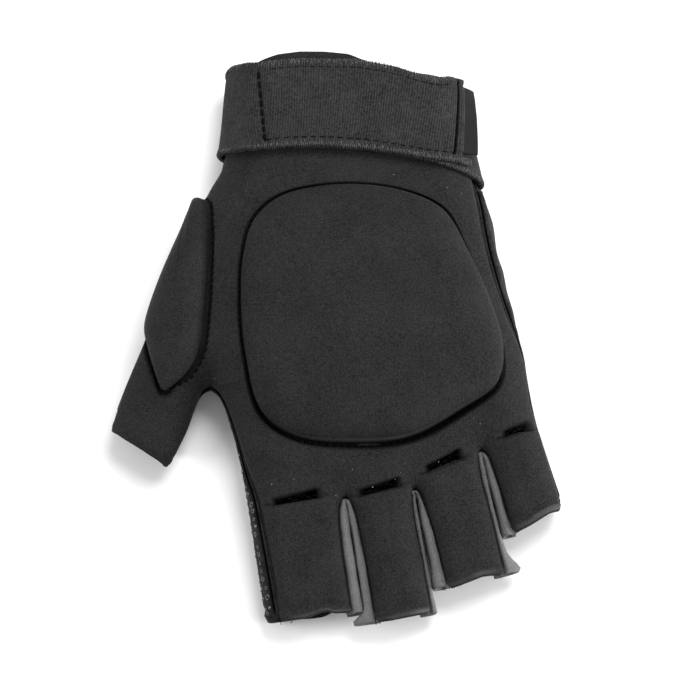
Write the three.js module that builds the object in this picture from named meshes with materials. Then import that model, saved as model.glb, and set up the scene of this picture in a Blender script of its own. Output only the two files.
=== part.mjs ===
// A half-finger field hockey glove for the left hand, lying on its palm as it does on a table.
// Millimetres. +Z is up, out of the back of the hand; +Y points to the wrist, and the thumb is on the -X side.
// Each fabric panel is a sheet of stitched rows of vertices, closed to its real thickness.
import * as THREE from "three";

// Thicknesses of the fabrics, and the gaps that sewn pieces keep.
const NEOPRENE = 3.0;
const SUEDE = 1.6;
const LYCRA = 1.1;
const ELASTIC = 1.7;
const LABEL = 0.9;
const SEAM_GAP = 0.5;
const LAYER_GAP = 0.4;
const PAD_GAP = 0.6;

// Cross-rows of the plan: 0 cuff, 1 lower edge of the strap, 2 top of the thumb pad, 5 the web of the thumb,
// 6 the knuckles and the end of the thumb sleeve, 7 the finger crotches, 8 the finger ends.
const WEB_ROW = 5;
const THUMB_END_ROW = 6;
const CROTCH_ROW = 7;
const END_ROW = 8;

// The lines of the plan that run from the cuff towards the fingertips.
const LINES = {
  thumbOuter: [
    { row: 0, x: -37.5, y: 97.5 },
    { row: 1, x: -40.3, y: 64.6 },
    { row: 2, x: -45.6, y: 52 },
    { row: 3, x: -56.4, y: 31.5 },
    { row: 4, x: -63.6, y: 12 },
    { row: 5, x: -66.4, y: 0 },
    { row: 5.5, x: -72, y: -15.5 },
    { row: 6, x: -76.3, y: -30 },
  ],
  thumbInner: [
    { row: 5, x: -43.1, y: -17.7 },
    { row: 5.1, x: -45.6, y: -19 },
    { row: 5.25, x: -47.9, y: -23.6 },
    { row: 5.6, x: -50.9, y: -32.4 },
    { row: 6, x: -55.8, y: -42.6 },
  ],
  web: [
    { row: 0, x: -30, y: 98 },
    { row: 1, x: -34, y: 64.5 },
    { row: 2, x: -40, y: 50 },
    { row: 3, x: -42.5, y: 27 },
    { row: 4, x: -44, y: 4 },
    { row: 5, x: -43.1, y: -17.7 },
  ],
  indexOuter: [
    { row: 5, x: -43.1, y: -17.7 },
    { row: 5.15, x: -40.9, y: -19.6 },
    { row: 5.4, x: -38.2, y: -24.6 },
    { row: 6, x: -34, y: -38.2 },
    { row: 7, x: -31, y: -54.5 },
    { row: 7.5, x: -28, y: -73 },
    { row: 8, x: -24.3, y: -95 },
  ],
  indexMiddle: [
    { row: 0, x: -13, y: 99.6 },
    { row: 1, x: -10, y: 63.7 },
    { row: 2, x: -7, y: 48 },
    { row: 3, x: -5, y: 27 },
    { row: 4, x: -2.5, y: 4 },
    { row: 5, x: -0.5, y: -19.5 },
    { row: 6, x: 1.2, y: -38.5 },
    { row: 7, x: 2.6, y: -56 },
  ],
  middleRing: [
    { row: 0, x: 4, y: 99.4 },
    { row: 1, x: 10, y: 63 },
    { row: 2, x: 14, y: 48 },
    { row: 3, x: 17.5, y: 27 },
    { row: 4, x: 21, y: 4.5 },
    { row: 5, x: 23.2, y: -18 },
    { row: 6, x: 24.6, y: -36 },
    { row: 7, x: 25.5, y: -53 },
  ],
  ringLittle: [
    { row: 0, x: 23, y: 96 },
    { row: 1, x: 29.5, y: 59.7 },
    { row: 2, x: 34, y: 48 },
    { row: 3, x: 38.5, y: 28 },
    { row: 4, x: 43, y: 6.5 },
    { row: 5, x: 45.8, y: -14 },
    { row: 6, x: 47, y: -28 },
    { row: 7, x: 47.9, y: -40.1 },
  ],
  ulnar: [
    { row: 0, x: 41.8, y: 94 },
    { row: 1, x: 48.4, y: 55.8 },
    { row: 2, x: 51.2, y: 49 },
    { row: 3, x: 55.8, y: 30 },
    { row: 4, x: 60.3, y: 8 },
    { row: 5, x: 64, y: -9 },
    { row: 6, x: 66.6, y: -27 },
    { row: 7, x: 70.2, y: -39.5 },
    { row: 8, x: 75.1, y: -55.6 },
  ],
};

// Each group of the plan lies between two lines; endLeft and endRight are the far corners beside a slit.
const THUMB = 0;
const GROUPS = [
  { name: "thumb" },
  { name: "index", right: "indexMiddle", endRight: { x: 7.9, y: -93.2 } },
  {
    name: "middle",
    left: "indexMiddle",
    right: "middleRing",
    endLeft: { x: 8.4, y: -96.6 },
    endRight: { x: 32.4, y: -93.2 },
  },
  {
    name: "ring",
    left: "middleRing",
    right: "ringLittle",
    endLeft: { x: 31.8, y: -85.4 },
    endRight: { x: 56.2, y: -77.6 },
  },
  { name: "little", left: "ringLittle", endLeft: { x: 54.2, y: -67 } },
];
const LITTLE = GROUPS.length - 1;
const FINGER_GAP = { half: 0.35, run: 3 };

// Heights of the hand, and the reach of its rounded sides: the back's crest, the widest level, the palm.
const HAND_SECTIONS = [
  { row: 0, top: 23.5, middle: 12, base: 2.2, topRadius: 16, bottomRadius: 11 },
  { row: 1, top: 24.5, middle: 12, base: 2.2, topRadius: 17, bottomRadius: 12 },
  { row: 2, top: 25, middle: 11.5, base: 0.8, topRadius: 17, bottomRadius: 12 },
  { row: 3, top: 25.5, middle: 11, base: 0, topRadius: 17, bottomRadius: 12 },
  { row: 4, top: 25.5, middle: 10.5, base: 0, topRadius: 17, bottomRadius: 12 },
  { row: 5, top: 24, middle: 10, base: 0, topRadius: 15, bottomRadius: 11 },
  { row: 6, top: 21.5, middle: 9, base: 0, topRadius: 13, bottomRadius: 9 },
  { row: 7, top: 18, middle: 8, base: 0, topRadius: 10.5, bottomRadius: 7 },
  { row: 8, top: 14, middle: 6.5, base: 0, topRadius: 9, bottomRadius: 6 },
];
// The thumb's side is lower than the hand from its root on.
const THUMB_SECTIONS = [
  { row: 0, top: 23.5, middle: 12, base: 2.2, topRadius: 16, bottomRadius: 11 },
  { row: 1, top: 24.5, middle: 12, base: 2.2, topRadius: 17, bottomRadius: 12 },
  { row: 2, top: 25, middle: 11.5, base: 0.8, topRadius: 17, bottomRadius: 12 },
  { row: 3, top: 24.5, middle: 10.5, base: 0, topRadius: 17, bottomRadius: 12 },
  { row: 4, top: 22.5, middle: 10, base: 0, topRadius: 16, bottomRadius: 12 },
  { row: 5, top: 20, middle: 9.5, base: 0, topRadius: 15, bottomRadius: 11 },
  { row: 6, top: 15, middle: 7.5, base: 0, topRadius: 11, bottomRadius: 8 },
];
const THUMB_BLEND_ROWS = 0.6;
const CROWN = { rise: 1.5, x: 8, y: 12, reachX: 48, reachY: 75 };

// How far above the widest level the seam between back and palm lies, in degrees of the rounded side.
const SEAMS = {
  thumbOuter: [
    { row: 0, degrees: 8 },
    { row: 6, degrees: 8 },
  ],
  thumbInner: [
    { row: 5, degrees: 8 },
    { row: 6, degrees: 14 },
  ],
  indexOuter: [
    { row: 5, degrees: 8 },
    { row: 5.8, degrees: 14 },
    { row: 6.55, degrees: 26 },
    { row: 7.15, degrees: 46 },
    { row: 8, degrees: 57 },
  ],
  ulnar: [
    { row: 0, degrees: 8 },
    { row: 1, degrees: 18 },
    { row: 2, degrees: 30 },
    { row: 3, degrees: 42 },
    { row: 4, degrees: 34 },
    { row: 5, degrees: 10 },
    { row: 6, degrees: 18 },
    { row: 8, degrees: 28 },
  ],
};

// The slit between two fingers: how round its sides are, and how far each panel's edge stands back from it.
const SLIT = {
  top: { radius: 9, dip: 0.35, inset: 3.6, insetRun: 14 },
  bottom: { radius: 7, dip: 0.12, inset: 2.2, insetRun: 10 },
  fullDrop: 0.88,
  dropRun: 9,
};

// The strips between the fingers, tucked in under the back panel and over the palm panel.
const STRIP = {
  pasts: [1.5, 3.5, 7, 12, 18, 25, 33],
  degrees: [80, 58, 34, 10, -16, -44, -72],
  tuck: 2.6,
  roofGap: 0.5,
  floorGap: 1.2,
  apexPast: 1.3,
  apexTurns: [135, 90, 45],
  endInset: 0.6,
};

// Stitched flex darts across the finger roots.
const DARTS = [
  { fromX: -21, fromY: -58.1, toX: -7.2, toY: -54.1 },
  { fromX: 7.6, fromY: -54.8, toX: 19.7, toY: -50.8 },
  { fromX: 29.7, fromY: -47.1, toX: 40.3, toY: -41 },
  { fromX: 54.7, fromY: -34.9, toX: 63.7, toY: -31.2 },
];
const DART = { depth: 2.1, halfWidth: 2.7 };

// Outlines of the foam pads, and their heights above the back panel.
const HAND_PAD = {
  center: { x: 12, y: 6 },
  sectors: 40,
  edge: 1.2,
  rounding: 9,
  ringDepths: [0, 0.9, 2.7, 5.5, 9.5],
  innerShares: [0.62, 0.3],
  rise: { atCenter: 4.6, perX: 0.026, perY: -0.02 },
  outline: [
    { x: -32.3, y: 25 },
    { x: -29, y: 38 },
    { x: -20, y: 46.6 },
    { x: 0, y: 50.9 },
    { x: 22, y: 48.6 },
    { x: 36, y: 41.6 },
    { x: 43.5, y: 27.5 },
    { x: 50.5, y: 10 },
    { x: 54.8, y: -7 },
    { x: 53.5, y: -19 },
    { x: 42, y: -28.5 },
    { x: 24, y: -38 },
    { x: 4, y: -40.2 },
    { x: -15, y: -37.3 },
    { x: -26, y: -28 },
    { x: -31.2, y: -8 },
    { x: -32.8, y: 10 },
  ],
};
const THUMB_PAD = {
  center: { x: -53, y: 8 },
  sectors: 26,
  edge: 1.1,
  rounding: 6,
  ringDepths: [0, 0.8, 2.3, 4.6],
  innerShares: [0.72, 0.42],
  rise: { atCenter: 3.8, perX: 0, perY: 0 },
  outline: [
    { x: -42.4, y: 36.2 },
    { x: -43.6, y: 13 },
    { x: -45.2, y: -7 },
    { x: -47.1, y: -15 },
    { x: -51.6, y: -20.4 },
    { x: -55.2, y: -21.5 },
    { x: -59, y: -18.6 },
    { x: -62.8, y: -6 },
    { x: -64.2, y: 1.4 },
    { x: -63.2, y: 8.4 },
    { x: -59.3, y: 19.7 },
    { x: -53.2, y: 34.5 },
    { x: -49.2, y: 42 },
    { x: -45.5, y: 47.5 },
  ],
};

// The strap's way round the wrist, in stations: 0 to 8 across the back towards the little finger, 8 to 17 round
// that side, 17 to 21 back across the palm, 21 to 30 round the thumb side. It laps over its own start.
const RING = { back: 8, ulnarSide: 17, palm: 21, lap: 30, sideStep: 20 };
const STRAP = {
  start: -0.9,
  end: 39.6,
  endSkew: 1.0,
  rampStart: 27.4,
  rampEnd: 28.9,
  stations: 52,
  upperRow: 0.06,
  lowerRow: 1,
  shiftPerStation: 0.0018,
  widthSteps: 4,
};
const STRAP_LABEL = { start: 0.35, length: 3.4, upperRow: 0.14, lowerRow: 0.8, stations: 5, widthSteps: 3 };

// How fine the sheets are.
const BACK_ROWS = [0, 0.5, 1, 1.5, 2, 2.6, 3.2, 3.8, 4.3, 4.7, 4.88];
const BACK_FINGER_ROOT_ROWS = [5.12, 5.35, 5.7, 6.05, 6.3, 6.42, 6.5, 6.58, 6.66, 6.74, 6.82, 6.89, 6.95];
const BACK_FINGER_ROWS = [7.04, 7.12, 7.24, 7.42, 7.7];
const PALM_ROWS = [0, 0.5, 1, 1.5, 2, 3, 3.9, 4.6, 4.85];
const PALM_FINGER_ROOT_ROWS = [5.12, 5.35, 5.75, 6.3, 6.8];
const PALM_FINGER_ROWS = [7.06, 7.16, 7.34, 7.65];
const THUMB_SLEEVE_ROWS = [5.08, 5.2, 5.4, 5.7];
const BACK_STEP = 5.2;
const PALM_STEP = 13;
const TOP_SIDE_STEPS = 4;
const BOTTOM_SIDE_DEGREES = [0, -22, -50, -90];

const COLORS = { neoprene: 0x2d2d2e, suede: 0x1c1c1d, lycra: 0x77787a, elastic: 0x3b3b3c, label: 0x161617 };

const clamp = (value, low, high) => Math.min(high, Math.max(low, value));
const lerp = (a, b, t) => a + (b - a) * t;
const smooth = (t) => t * t * (3 - 2 * t);
const radians = THREE.MathUtils.degToRad;
const degrees = THREE.MathUtils.radToDeg;
const UP = new THREE.Vector3(0, 0, 1);

// A smooth curve through a table's rows: every other column, read at any row number.
function along(table, row) {
  const last = table.length - 1;
  let i = 0;
  while (i < last - 1 && row > table[i + 1].row) {
    i += 1;
  }
  const [a, b] = [table[i], table[i + 1]];
  const before = table[Math.max(0, i - 1)];
  const after = table[Math.min(last, i + 2)];
  const span = b.row - a.row;
  const t = clamp((row - a.row) / span, 0, 1);
  const result = {};
  for (const column of Object.keys(a)) {
    const slopeA = ((b[column] - before[column]) / (b.row - before.row)) * span;
    const slopeB = ((after[column] - a[column]) / (after.row - a.row)) * span;
    const [t2, t3] = [t * t, t * t * t];
    result[column] =
      a[column] * (2 * t3 - 3 * t2 + 1) +
      slopeA * (t3 - 2 * t2 + t) +
      b[column] * (3 * t2 - 2 * t3) +
      slopeB * (t3 - t2);
  }
  return result;
}

function linePoint(name, row) {
  const { x, y } = along(LINES[name], row);
  return new THREE.Vector2(x, y);
}

// A finger's side beside a slit: on the shared line down to the crotch, then straight to the finger's end.
function slitPoint(name, end, sign, row) {
  if (row <= CROTCH_ROW) return linePoint(name, row);
  const crotch = linePoint(name, CROTCH_ROW);
  const point = crotch.clone().lerp(new THREE.Vector2(end.x, end.y), row - CROTCH_ROW);
  point.x += sign * FINGER_GAP.half * clamp(point.distanceTo(crotch) / FINGER_GAP.run, 0, 1);
  return point;
}

// The two ends of a group's cross-line at a row.
function spanEnds(group, row) {
  if (group === THUMB) {
    const inner = row <= WEB_ROW ? "web" : "thumbInner";
    return [linePoint("thumbOuter", row), linePoint(inner, row)];
  }
  const { left, right, endLeft, endRight } = GROUPS[group];
  const outerLeft = row <= WEB_ROW ? "web" : "indexOuter";
  const start = left ? slitPoint(left, endLeft, 1, row) : linePoint(outerLeft, row);
  const end = right ? slitPoint(right, endRight, -1, row) : linePoint("ulnar", row);
  return [start, end];
}

function spanWidth(group, row) {
  const [start, end] = spanEnds(group, row);
  return start.distanceTo(end);
}

// A run is a stretch of groups that are one tube at a row: the hand, the thumb sleeve or one finger.
const HAND_AND_THUMB = { first: THUMB, last: LITTLE };
const HAND = { first: THUMB + 1, last: LITTLE };
const single = (group) => ({ first: group, last: group });

function runOf(group, row) {
  if (row <= WEB_ROW) return HAND_AND_THUMB;
  if (group === THUMB || row > CROTCH_ROW) return single(group);
  return HAND;
}

function groupsOf(run) {
  return GROUPS.map((_, group) => group).filter((group) => group >= run.first && group <= run.last);
}

function runWidth(run, row) {
  return groupsOf(run).reduce((sum, group) => sum + spanWidth(group, row), 0);
}

// What a run's side is: an outer line with a seam, or one side of the slit between two fingers.
function sideOf(run, which, row) {
  const edge = which === "left" ? run.first : run.last;
  if (which === "left" && edge === THUMB) return { outer: "thumbOuter" };
  if (which === "left" && edge === THUMB + 1) return { outer: "indexOuter" };
  if (which === "right" && edge === THUMB) return { outer: "thumbInner" };
  if (which === "right" && edge === LITTLE) return { outer: "ulnar" };
  const crotch = linePoint(GROUPS[edge][which], CROTCH_ROW);
  const point = spanEnds(edge, Math.max(row, CROTCH_ROW))[which === "left" ? 0 : 1];
  return { past: point.distanceTo(crotch) };
}

// The section's heights and radii at a place across a group; the thumb's own grow towards its outer line.
function sectionAt(group, row, share) {
  const hand = along(HAND_SECTIONS, row);
  hand.base = Math.max(0, hand.base);
  if (group !== THUMB) return hand;
  const thumb = along(THUMB_SECTIONS, row);
  thumb.base = hand.base;
  const mix = share * (1 - clamp((row - WEB_ROW) / THUMB_BLEND_ROWS, 0, 1));
  const mixed = {};
  for (const column of Object.keys(hand)) {
    mixed[column] = lerp(thumb[column], hand[column], mix);
  }
  return mixed;
}

// How far a quarter-round side has dropped at a share of its radius: 1 at the very side, 0 on the flat.
function edgeDrop(share) {
  const u = clamp(1 - share, 0, 1);
  return 1 - Math.sqrt(1 - u * u);
}

function sideDrop(side, face) {
  if (side.outer) return 1;
  return lerp(SLIT[face].dip, SLIT.fullDrop, smooth(clamp(side.past / SLIT.dropRun, 0, 1)));
}

function sideRadius(run, which, row, face) {
  const edge = which === "left" ? run.first : run.last;
  if (!sideOf(run, which, row).outer) return SLIT[face].radius;
  return sectionAt(edge, row, which === "left" ? 0 : 1)[face === "top" ? "topRadius" : "bottomRadius"];
}

// The share of the way down to the widest level, from all the sides and crotches around a place.
function fallAt(run, row, plan, toLeft, toRight, section, face) {
  const radius = section[face === "top" ? "topRadius" : "bottomRadius"];
  const falls = [];
  for (const [which, distance] of [["left", toLeft], ["right", toRight]]) {
    const side = sideOf(run, which, row);
    const reach = side.outer ? radius : SLIT[face].radius;
    falls.push(sideDrop(side, face) * edgeDrop(distance / reach));
  }
  if (run.last === LITTLE && run.first <= THUMB + 1) {
    for (const name of ["indexMiddle", "middleRing", "ringLittle"]) {
      const away = plan.distanceTo(linePoint(name, CROTCH_ROW));
      falls.push(SLIT[face].dip * edgeDrop(away / SLIT[face].radius));
    }
  }
  if (run === HAND_AND_THUMB) {
    const web = along(HAND_SECTIONS, WEB_ROW);
    const away = plan.distanceTo(linePoint("web", WEB_ROW));
    falls.push(edgeDrop(away / (face === "top" ? web.topRadius : web.bottomRadius)));
  }
  return Math.min(1, Math.hypot(...falls));
}

function crownAt(plan) {
  const away = Math.hypot((plan.x - CROWN.x) / CROWN.reachX, (plan.y - CROWN.y) / CROWN.reachY);
  return CROWN.rise * (1 - smooth(clamp(away, 0, 1)));
}

// A point of the outer skin at a distance across a run, on its back ("top") or palm ("bottom") face.
function acrossPoint(run, row, distance, face) {
  const width = runWidth(run, row);
  let [group, before] = [run.first, 0];
  while (group < run.last && distance > before + spanWidth(group, row)) {
    before += spanWidth(group, row);
    group += 1;
  }
  const share = (distance - before) / spanWidth(group, row);
  const [start, end] = spanEnds(group, row);
  const plan = start.lerp(end, share);
  const section = sectionAt(group, row, clamp(share, 0, 1));
  const fall = fallAt(run, row, plan, distance, width - distance, section, face);
  const crest = face === "top" ? section.top + crownAt(plan) : section.base;
  return new THREE.Vector3(plan.x, plan.y, lerp(crest, section.middle, fall));
}

// A point on a run's rounded side: 90 degrees is the edge of the back's flat, 0 the widest level,
// and -90 the edge of the palm's flat.
function sidePoint(run, row, which, angle) {
  const face = angle >= 0 ? "top" : "bottom";
  const inset = sideRadius(run, which, row, face) * (1 - Math.cos(radians(angle)));
  return acrossPoint(run, row, which === "left" ? inset : runWidth(run, row) - inset, face);
}

// A vertex of a sheet: its place, and the direction out of the fabric there.
function vertex(place, outward) {
  const across = place(0, 1).sub(place(0, -1));
  const down = place(1, 0).sub(place(-1, 0));
  const normal = across.cross(down).normalize();
  if (normal.dot(outward) < 0) normal.negate();
  return { point: place(0, 0), normal };
}

const ROW_STEP = 0.02;

function flatVertex(run, row, distance, face) {
  const place = (rows, steps) => acrossPoint(run, row + rows * ROW_STEP, distance + steps * 0.4, face);
  return vertex(place, face === "top" ? UP : UP.clone().negate());
}

function sideVertex(run, row, which, angle) {
  const place = (rows, steps) => sidePoint(run, row + rows * ROW_STEP, which, angle + steps * 1.5);
  const [start] = spanEnds(run.first, row);
  const [, end] = spanEnds(run.last, row);
  const out = (which === "left" ? start.sub(end) : end.sub(start)).normalize();
  const level = Math.cos(radians(angle));
  return vertex(place, new THREE.Vector3(out.x * level, out.y * level, Math.sin(radians(angle))));
}

// The web of the thumb is one shared place for the thumb sleeve and the index side.
function atWeb(side, row) {
  return row === WEB_ROW && (side.outer === "thumbInner" || side.outer === "indexOuter");
}

function seamVertex(run, row, which, angle) {
  const made = sideVertex(run, row, which, angle);
  if (atWeb(sideOf(run, which, row), row)) {
    const web = linePoint("web", WEB_ROW);
    made.point.x = web.x;
    made.point.y = web.y;
  }
  return made;
}

// At a crotch the slit's edge is all but level, and stays on its own face.
const CROTCH_ANGLE = 1.6;

// The angle of a panel's edge on a run's side: at the seam less half the gap, or stood back from the slit.
function edgeAngle(run, row, which, face) {
  const side = sideOf(run, which, row);
  if (side.outer) {
    const section = sectionAt(which === "left" ? run.first : run.last, row, which === "left" ? 0 : 1);
    const angle = radians(along(SEAMS[side.outer], row).degrees);
    const height = section.top - section.middle;
    const perRadian = Math.hypot(section.topRadius * Math.sin(angle), height * Math.cos(angle));
    return degrees(angle + ((face === "top" ? 0.5 : -0.5) * SEAM_GAP) / perRadian);
  }
  const { inset, insetRun, radius } = SLIT[face];
  const back = inset * Math.sqrt(clamp(side.past / insetRun, 0, 1));
  const angle = Math.max(CROTCH_ANGLE, degrees(Math.acos(1 - back / radius)));
  return face === "top" ? angle : -angle;
}

// Evenly spaced vertices between the two rounded sides, with the group lines that fall there kept.
function flatVertices(run, row, face, step) {
  const width = runWidth(run, row);
  const from = sideRadius(run, "left", row, face);
  const to = width - sideRadius(run, "right", row, face);
  const stops = [from];
  let line = 0;
  for (const group of groupsOf(run).slice(0, -1)) {
    line += spanWidth(group, row);
    if (line > from + 2 && line < to - 2) stops.push(line);
  }
  stops.push(to);
  const distances = [];
  for (let i = 0; i < stops.length - 1; i += 1) {
    const count = Math.max(1, Math.round((stops[i + 1] - stops[i]) / step));
    for (let k = 0; k < count; k += 1) {
      distances.push(lerp(stops[i], stops[i + 1], k / count));
    }
  }
  return distances.slice(1).map((distance) => flatVertex(run, row, distance, face));
}

// One cross-row of the back panel, from the thumb side to the little finger's side.
function backRow(run, row) {
  const side = (which) => {
    const start = edgeAngle(run, row, which, "top");
    const angles = [];
    for (let k = 0; k <= TOP_SIDE_STEPS; k += 1) {
      angles.push(lerp(start, 90, k / TOP_SIDE_STEPS));
    }
    return angles.map((angle, k) => (k ? sideVertex : seamVertex)(run, row, which, angle));
  };
  const flat = flatVertices(run, row, "top", BACK_STEP);
  return [...side("left"), ...flat, ...side("right").reverse()];
}

// One cross-row of the palm panel; withSeams leaves out the strips that climb the sides at the web.
function palmRow(run, row, withSeams = true) {
  const side = (which) => {
    const kind = sideOf(run, which, row);
    const angle = edgeAngle(run, row, which, "bottom");
    if (!kind.outer) {
      return BOTTOM_SIDE_DEGREES.map((down) => sideVertex(run, row, which, lerp(angle, -90, down / -90)));
    }
    const climb = withSeams || !atWeb(kind, row) ? [angle, angle / 2] : [];
    return [
      ...climb.map((up) => seamVertex(run, row, which, up)),
      seamVertex(run, row, which, 0),
      ...BOTTOM_SIDE_DEGREES.slice(1).map((down) => sideVertex(run, row, which, down)),
    ];
  };
  const flat = flatVertices(run, row, "bottom", PALM_STEP);
  return [...side("left"), ...flat, ...side("right").reverse()];
}

// Triangles between two rows of vertices, always closing the shorter diagonal next.
function stitch(upper, lower) {
  const triangles = [];
  let [i, j] = [0, 0];
  while (i < upper.length - 1 || j < lower.length - 1) {
    const viaUpper = i < upper.length - 1 ? upper[i + 1].point.distanceTo(lower[j].point) : Infinity;
    const viaLower = j < lower.length - 1 ? lower[j + 1].point.distanceTo(upper[i].point) : Infinity;
    if (viaUpper <= viaLower) {
      triangles.push([upper[i], lower[j], upper[i + 1]]);
      i += 1;
    } else {
      triangles.push([upper[i], lower[j], lower[j + 1]]);
      j += 1;
    }
  }
  return triangles;
}

function sheetOf(rows) {
  return rows.slice(1).flatMap((row, i) => stitch(rows[i], row));
}

const flipped = (triangles) => triangles.map(([a, b, c]) => [a, c, b]);

// A closed solid from a sheet of triangles: the outer face, the inner face one thickness in, and the rims.
// relief(point) sinks the outer face only.
function closeSheet(triangles, thickness, relief = () => 0) {
  const found = new Map();
  const indexOf = ({ point, normal }) => {
    const key = [point.x, point.y, point.z].map((value) => Math.round(value * 100)).join();
    if (!found.has(key)) found.set(key, { index: found.size, point, normal: new THREE.Vector3() });
    const entry = found.get(key);
    entry.normal.add(normal);
    return entry.index;
  };
  const faces = triangles
    .map((corners) => corners.map(indexOf))
    .filter(([a, b, c]) => a !== b && b !== c && c !== a);
  const vertices = [...found.values()];
  const count = vertices.length;
  const positions = new Float32Array(count * 6);
  vertices.forEach(({ point, normal }, i) => {
    normal.normalize();
    const outer = point.clone().addScaledVector(normal, -relief(point));
    const inner = point.clone().addScaledVector(normal, -thickness);
    outer.toArray(positions, i * 3);
    inner.toArray(positions, (count + i) * 3);
  });
  const edges = new Set(faces.flatMap(([a, b, c]) => [`${a},${b}`, `${b},${c}`, `${c},${a}`]));
  const index = [];
  for (const [a, b, c] of faces) {
    index.push(a, b, c, a + count, c + count, b + count);
    for (const [from, to] of [[a, b], [b, c], [c, a]]) {
      if (!edges.has(`${to},${from}`)) index.push(to, from, from + count, to, from + count, to + count);
    }
  }
  const geometry = new THREE.BufferGeometry();
  geometry.setAttribute("position", new THREE.BufferAttribute(positions, 3));
  geometry.setIndex(index);
  return geometry;
}

// A panel's sheet: the hand down to the web, the thumb sleeve, the hand down to the crotches, the fingers.
function panelSheet(makeRow, rows, rootRows, fingerRows, joinAtWeb) {
  const fingers = groupsOf(HAND);
  const crotchRow = fingers.flatMap((group, i) => makeRow(single(group), CROTCH_ROW).slice(i ? 1 : 0));
  const upper = [...rows.map((row) => makeRow(HAND_AND_THUMB, row)), joinAtWeb()];
  const thumb = [WEB_ROW, ...THUMB_SLEEVE_ROWS, THUMB_END_ROW].map((row) => makeRow(single(THUMB), row));
  const lower = [...[WEB_ROW, ...rootRows].map((row) => makeRow(HAND, row)), crotchRow];
  const tubes = fingers.flatMap((group) =>
    sheetOf([CROTCH_ROW, ...fingerRows, END_ROW].map((row) => makeRow(single(group), row))),
  );
  return [...sheetOf(upper), ...sheetOf(thumb), ...sheetOf(lower), ...tubes];
}

function dartRelief(point) {
  let depth = 0;
  for (const { fromX, fromY, toX, toY } of DARTS) {
    const [ex, ey] = [toX - fromX, toY - fromY];
    const t = clamp(((point.x - fromX) * ex + (point.y - fromY) * ey) / (ex * ex + ey * ey), 0, 1);
    const away = Math.hypot(point.x - fromX - t * ex, point.y - fromY - t * ey);
    depth = Math.max(depth, DART.depth * (1 - smooth(clamp(away / DART.halfWidth, 0, 1))));
  }
  return depth;
}

function backPanel() {
  const joinAtWeb = () => [...backRow(single(THUMB), WEB_ROW), ...backRow(HAND, WEB_ROW).slice(1)];
  const sheet = panelSheet(backRow, BACK_ROWS, BACK_FINGER_ROOT_ROWS, BACK_FINGER_ROWS, joinAtWeb);
  return closeSheet(sheet, NEOPRENE, dartRelief);
}

function palmPanel() {
  const joinAtWeb = () => {
    const thumb = palmRow(single(THUMB), WEB_ROW, false);
    const hand = palmRow(HAND, WEB_ROW, false);
    return [...thumb, ...hand.slice(1)];
  };
  const sheet = panelSheet(palmRow, PALM_ROWS, PALM_FINGER_ROOT_ROWS, PALM_FINGER_ROWS, joinAtWeb);
  return closeSheet(flipped(sheet), SUEDE);
}

// The group, row and share whose cross-line passes through a place in the plan.
function locate(x, y) {
  for (const group of GROUPS.keys()) {
    let [low, high] = [0, group === THUMB ? THUMB_END_ROW : END_ROW];
    for (let step = 0; step < 24; step += 1) {
      const row = (low + high) / 2;
      const [start, end] = spanEnds(group, row);
      const level = start.y + ((end.y - start.y) * (x - start.x)) / (end.x - start.x);
      if (y < level) low = row;
      else high = row;
    }
    const [start, end] = spanEnds(group, low);
    const share = (x - start.x) / (end.x - start.x);
    if (share > -1e-3 && share < 1.001) return { group, row: low, share };
  }
  throw new Error(`no part of the plan holds ${x}, ${y}`);
}

// The skin over a place in the plan, with its outward direction.
function skinVertex(x, y, face) {
  const height = (dx, dy) => {
    const { group, row, share } = locate(x + dx, y + dy);
    const run = runOf(group, row);
    const before = groupsOf(run).filter((other) => other < group);
    const distance = before.reduce((sum, other) => sum + spanWidth(other, row), share * spanWidth(group, row));
    return new THREE.Vector3(x + dx, y + dy, acrossPoint(run, row, distance, face).z);
  };
  const step = 0.25;
  return vertex((rows, steps) => height(steps * step, -rows * step), face === "top" ? UP : UP.clone().negate());
}

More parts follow.
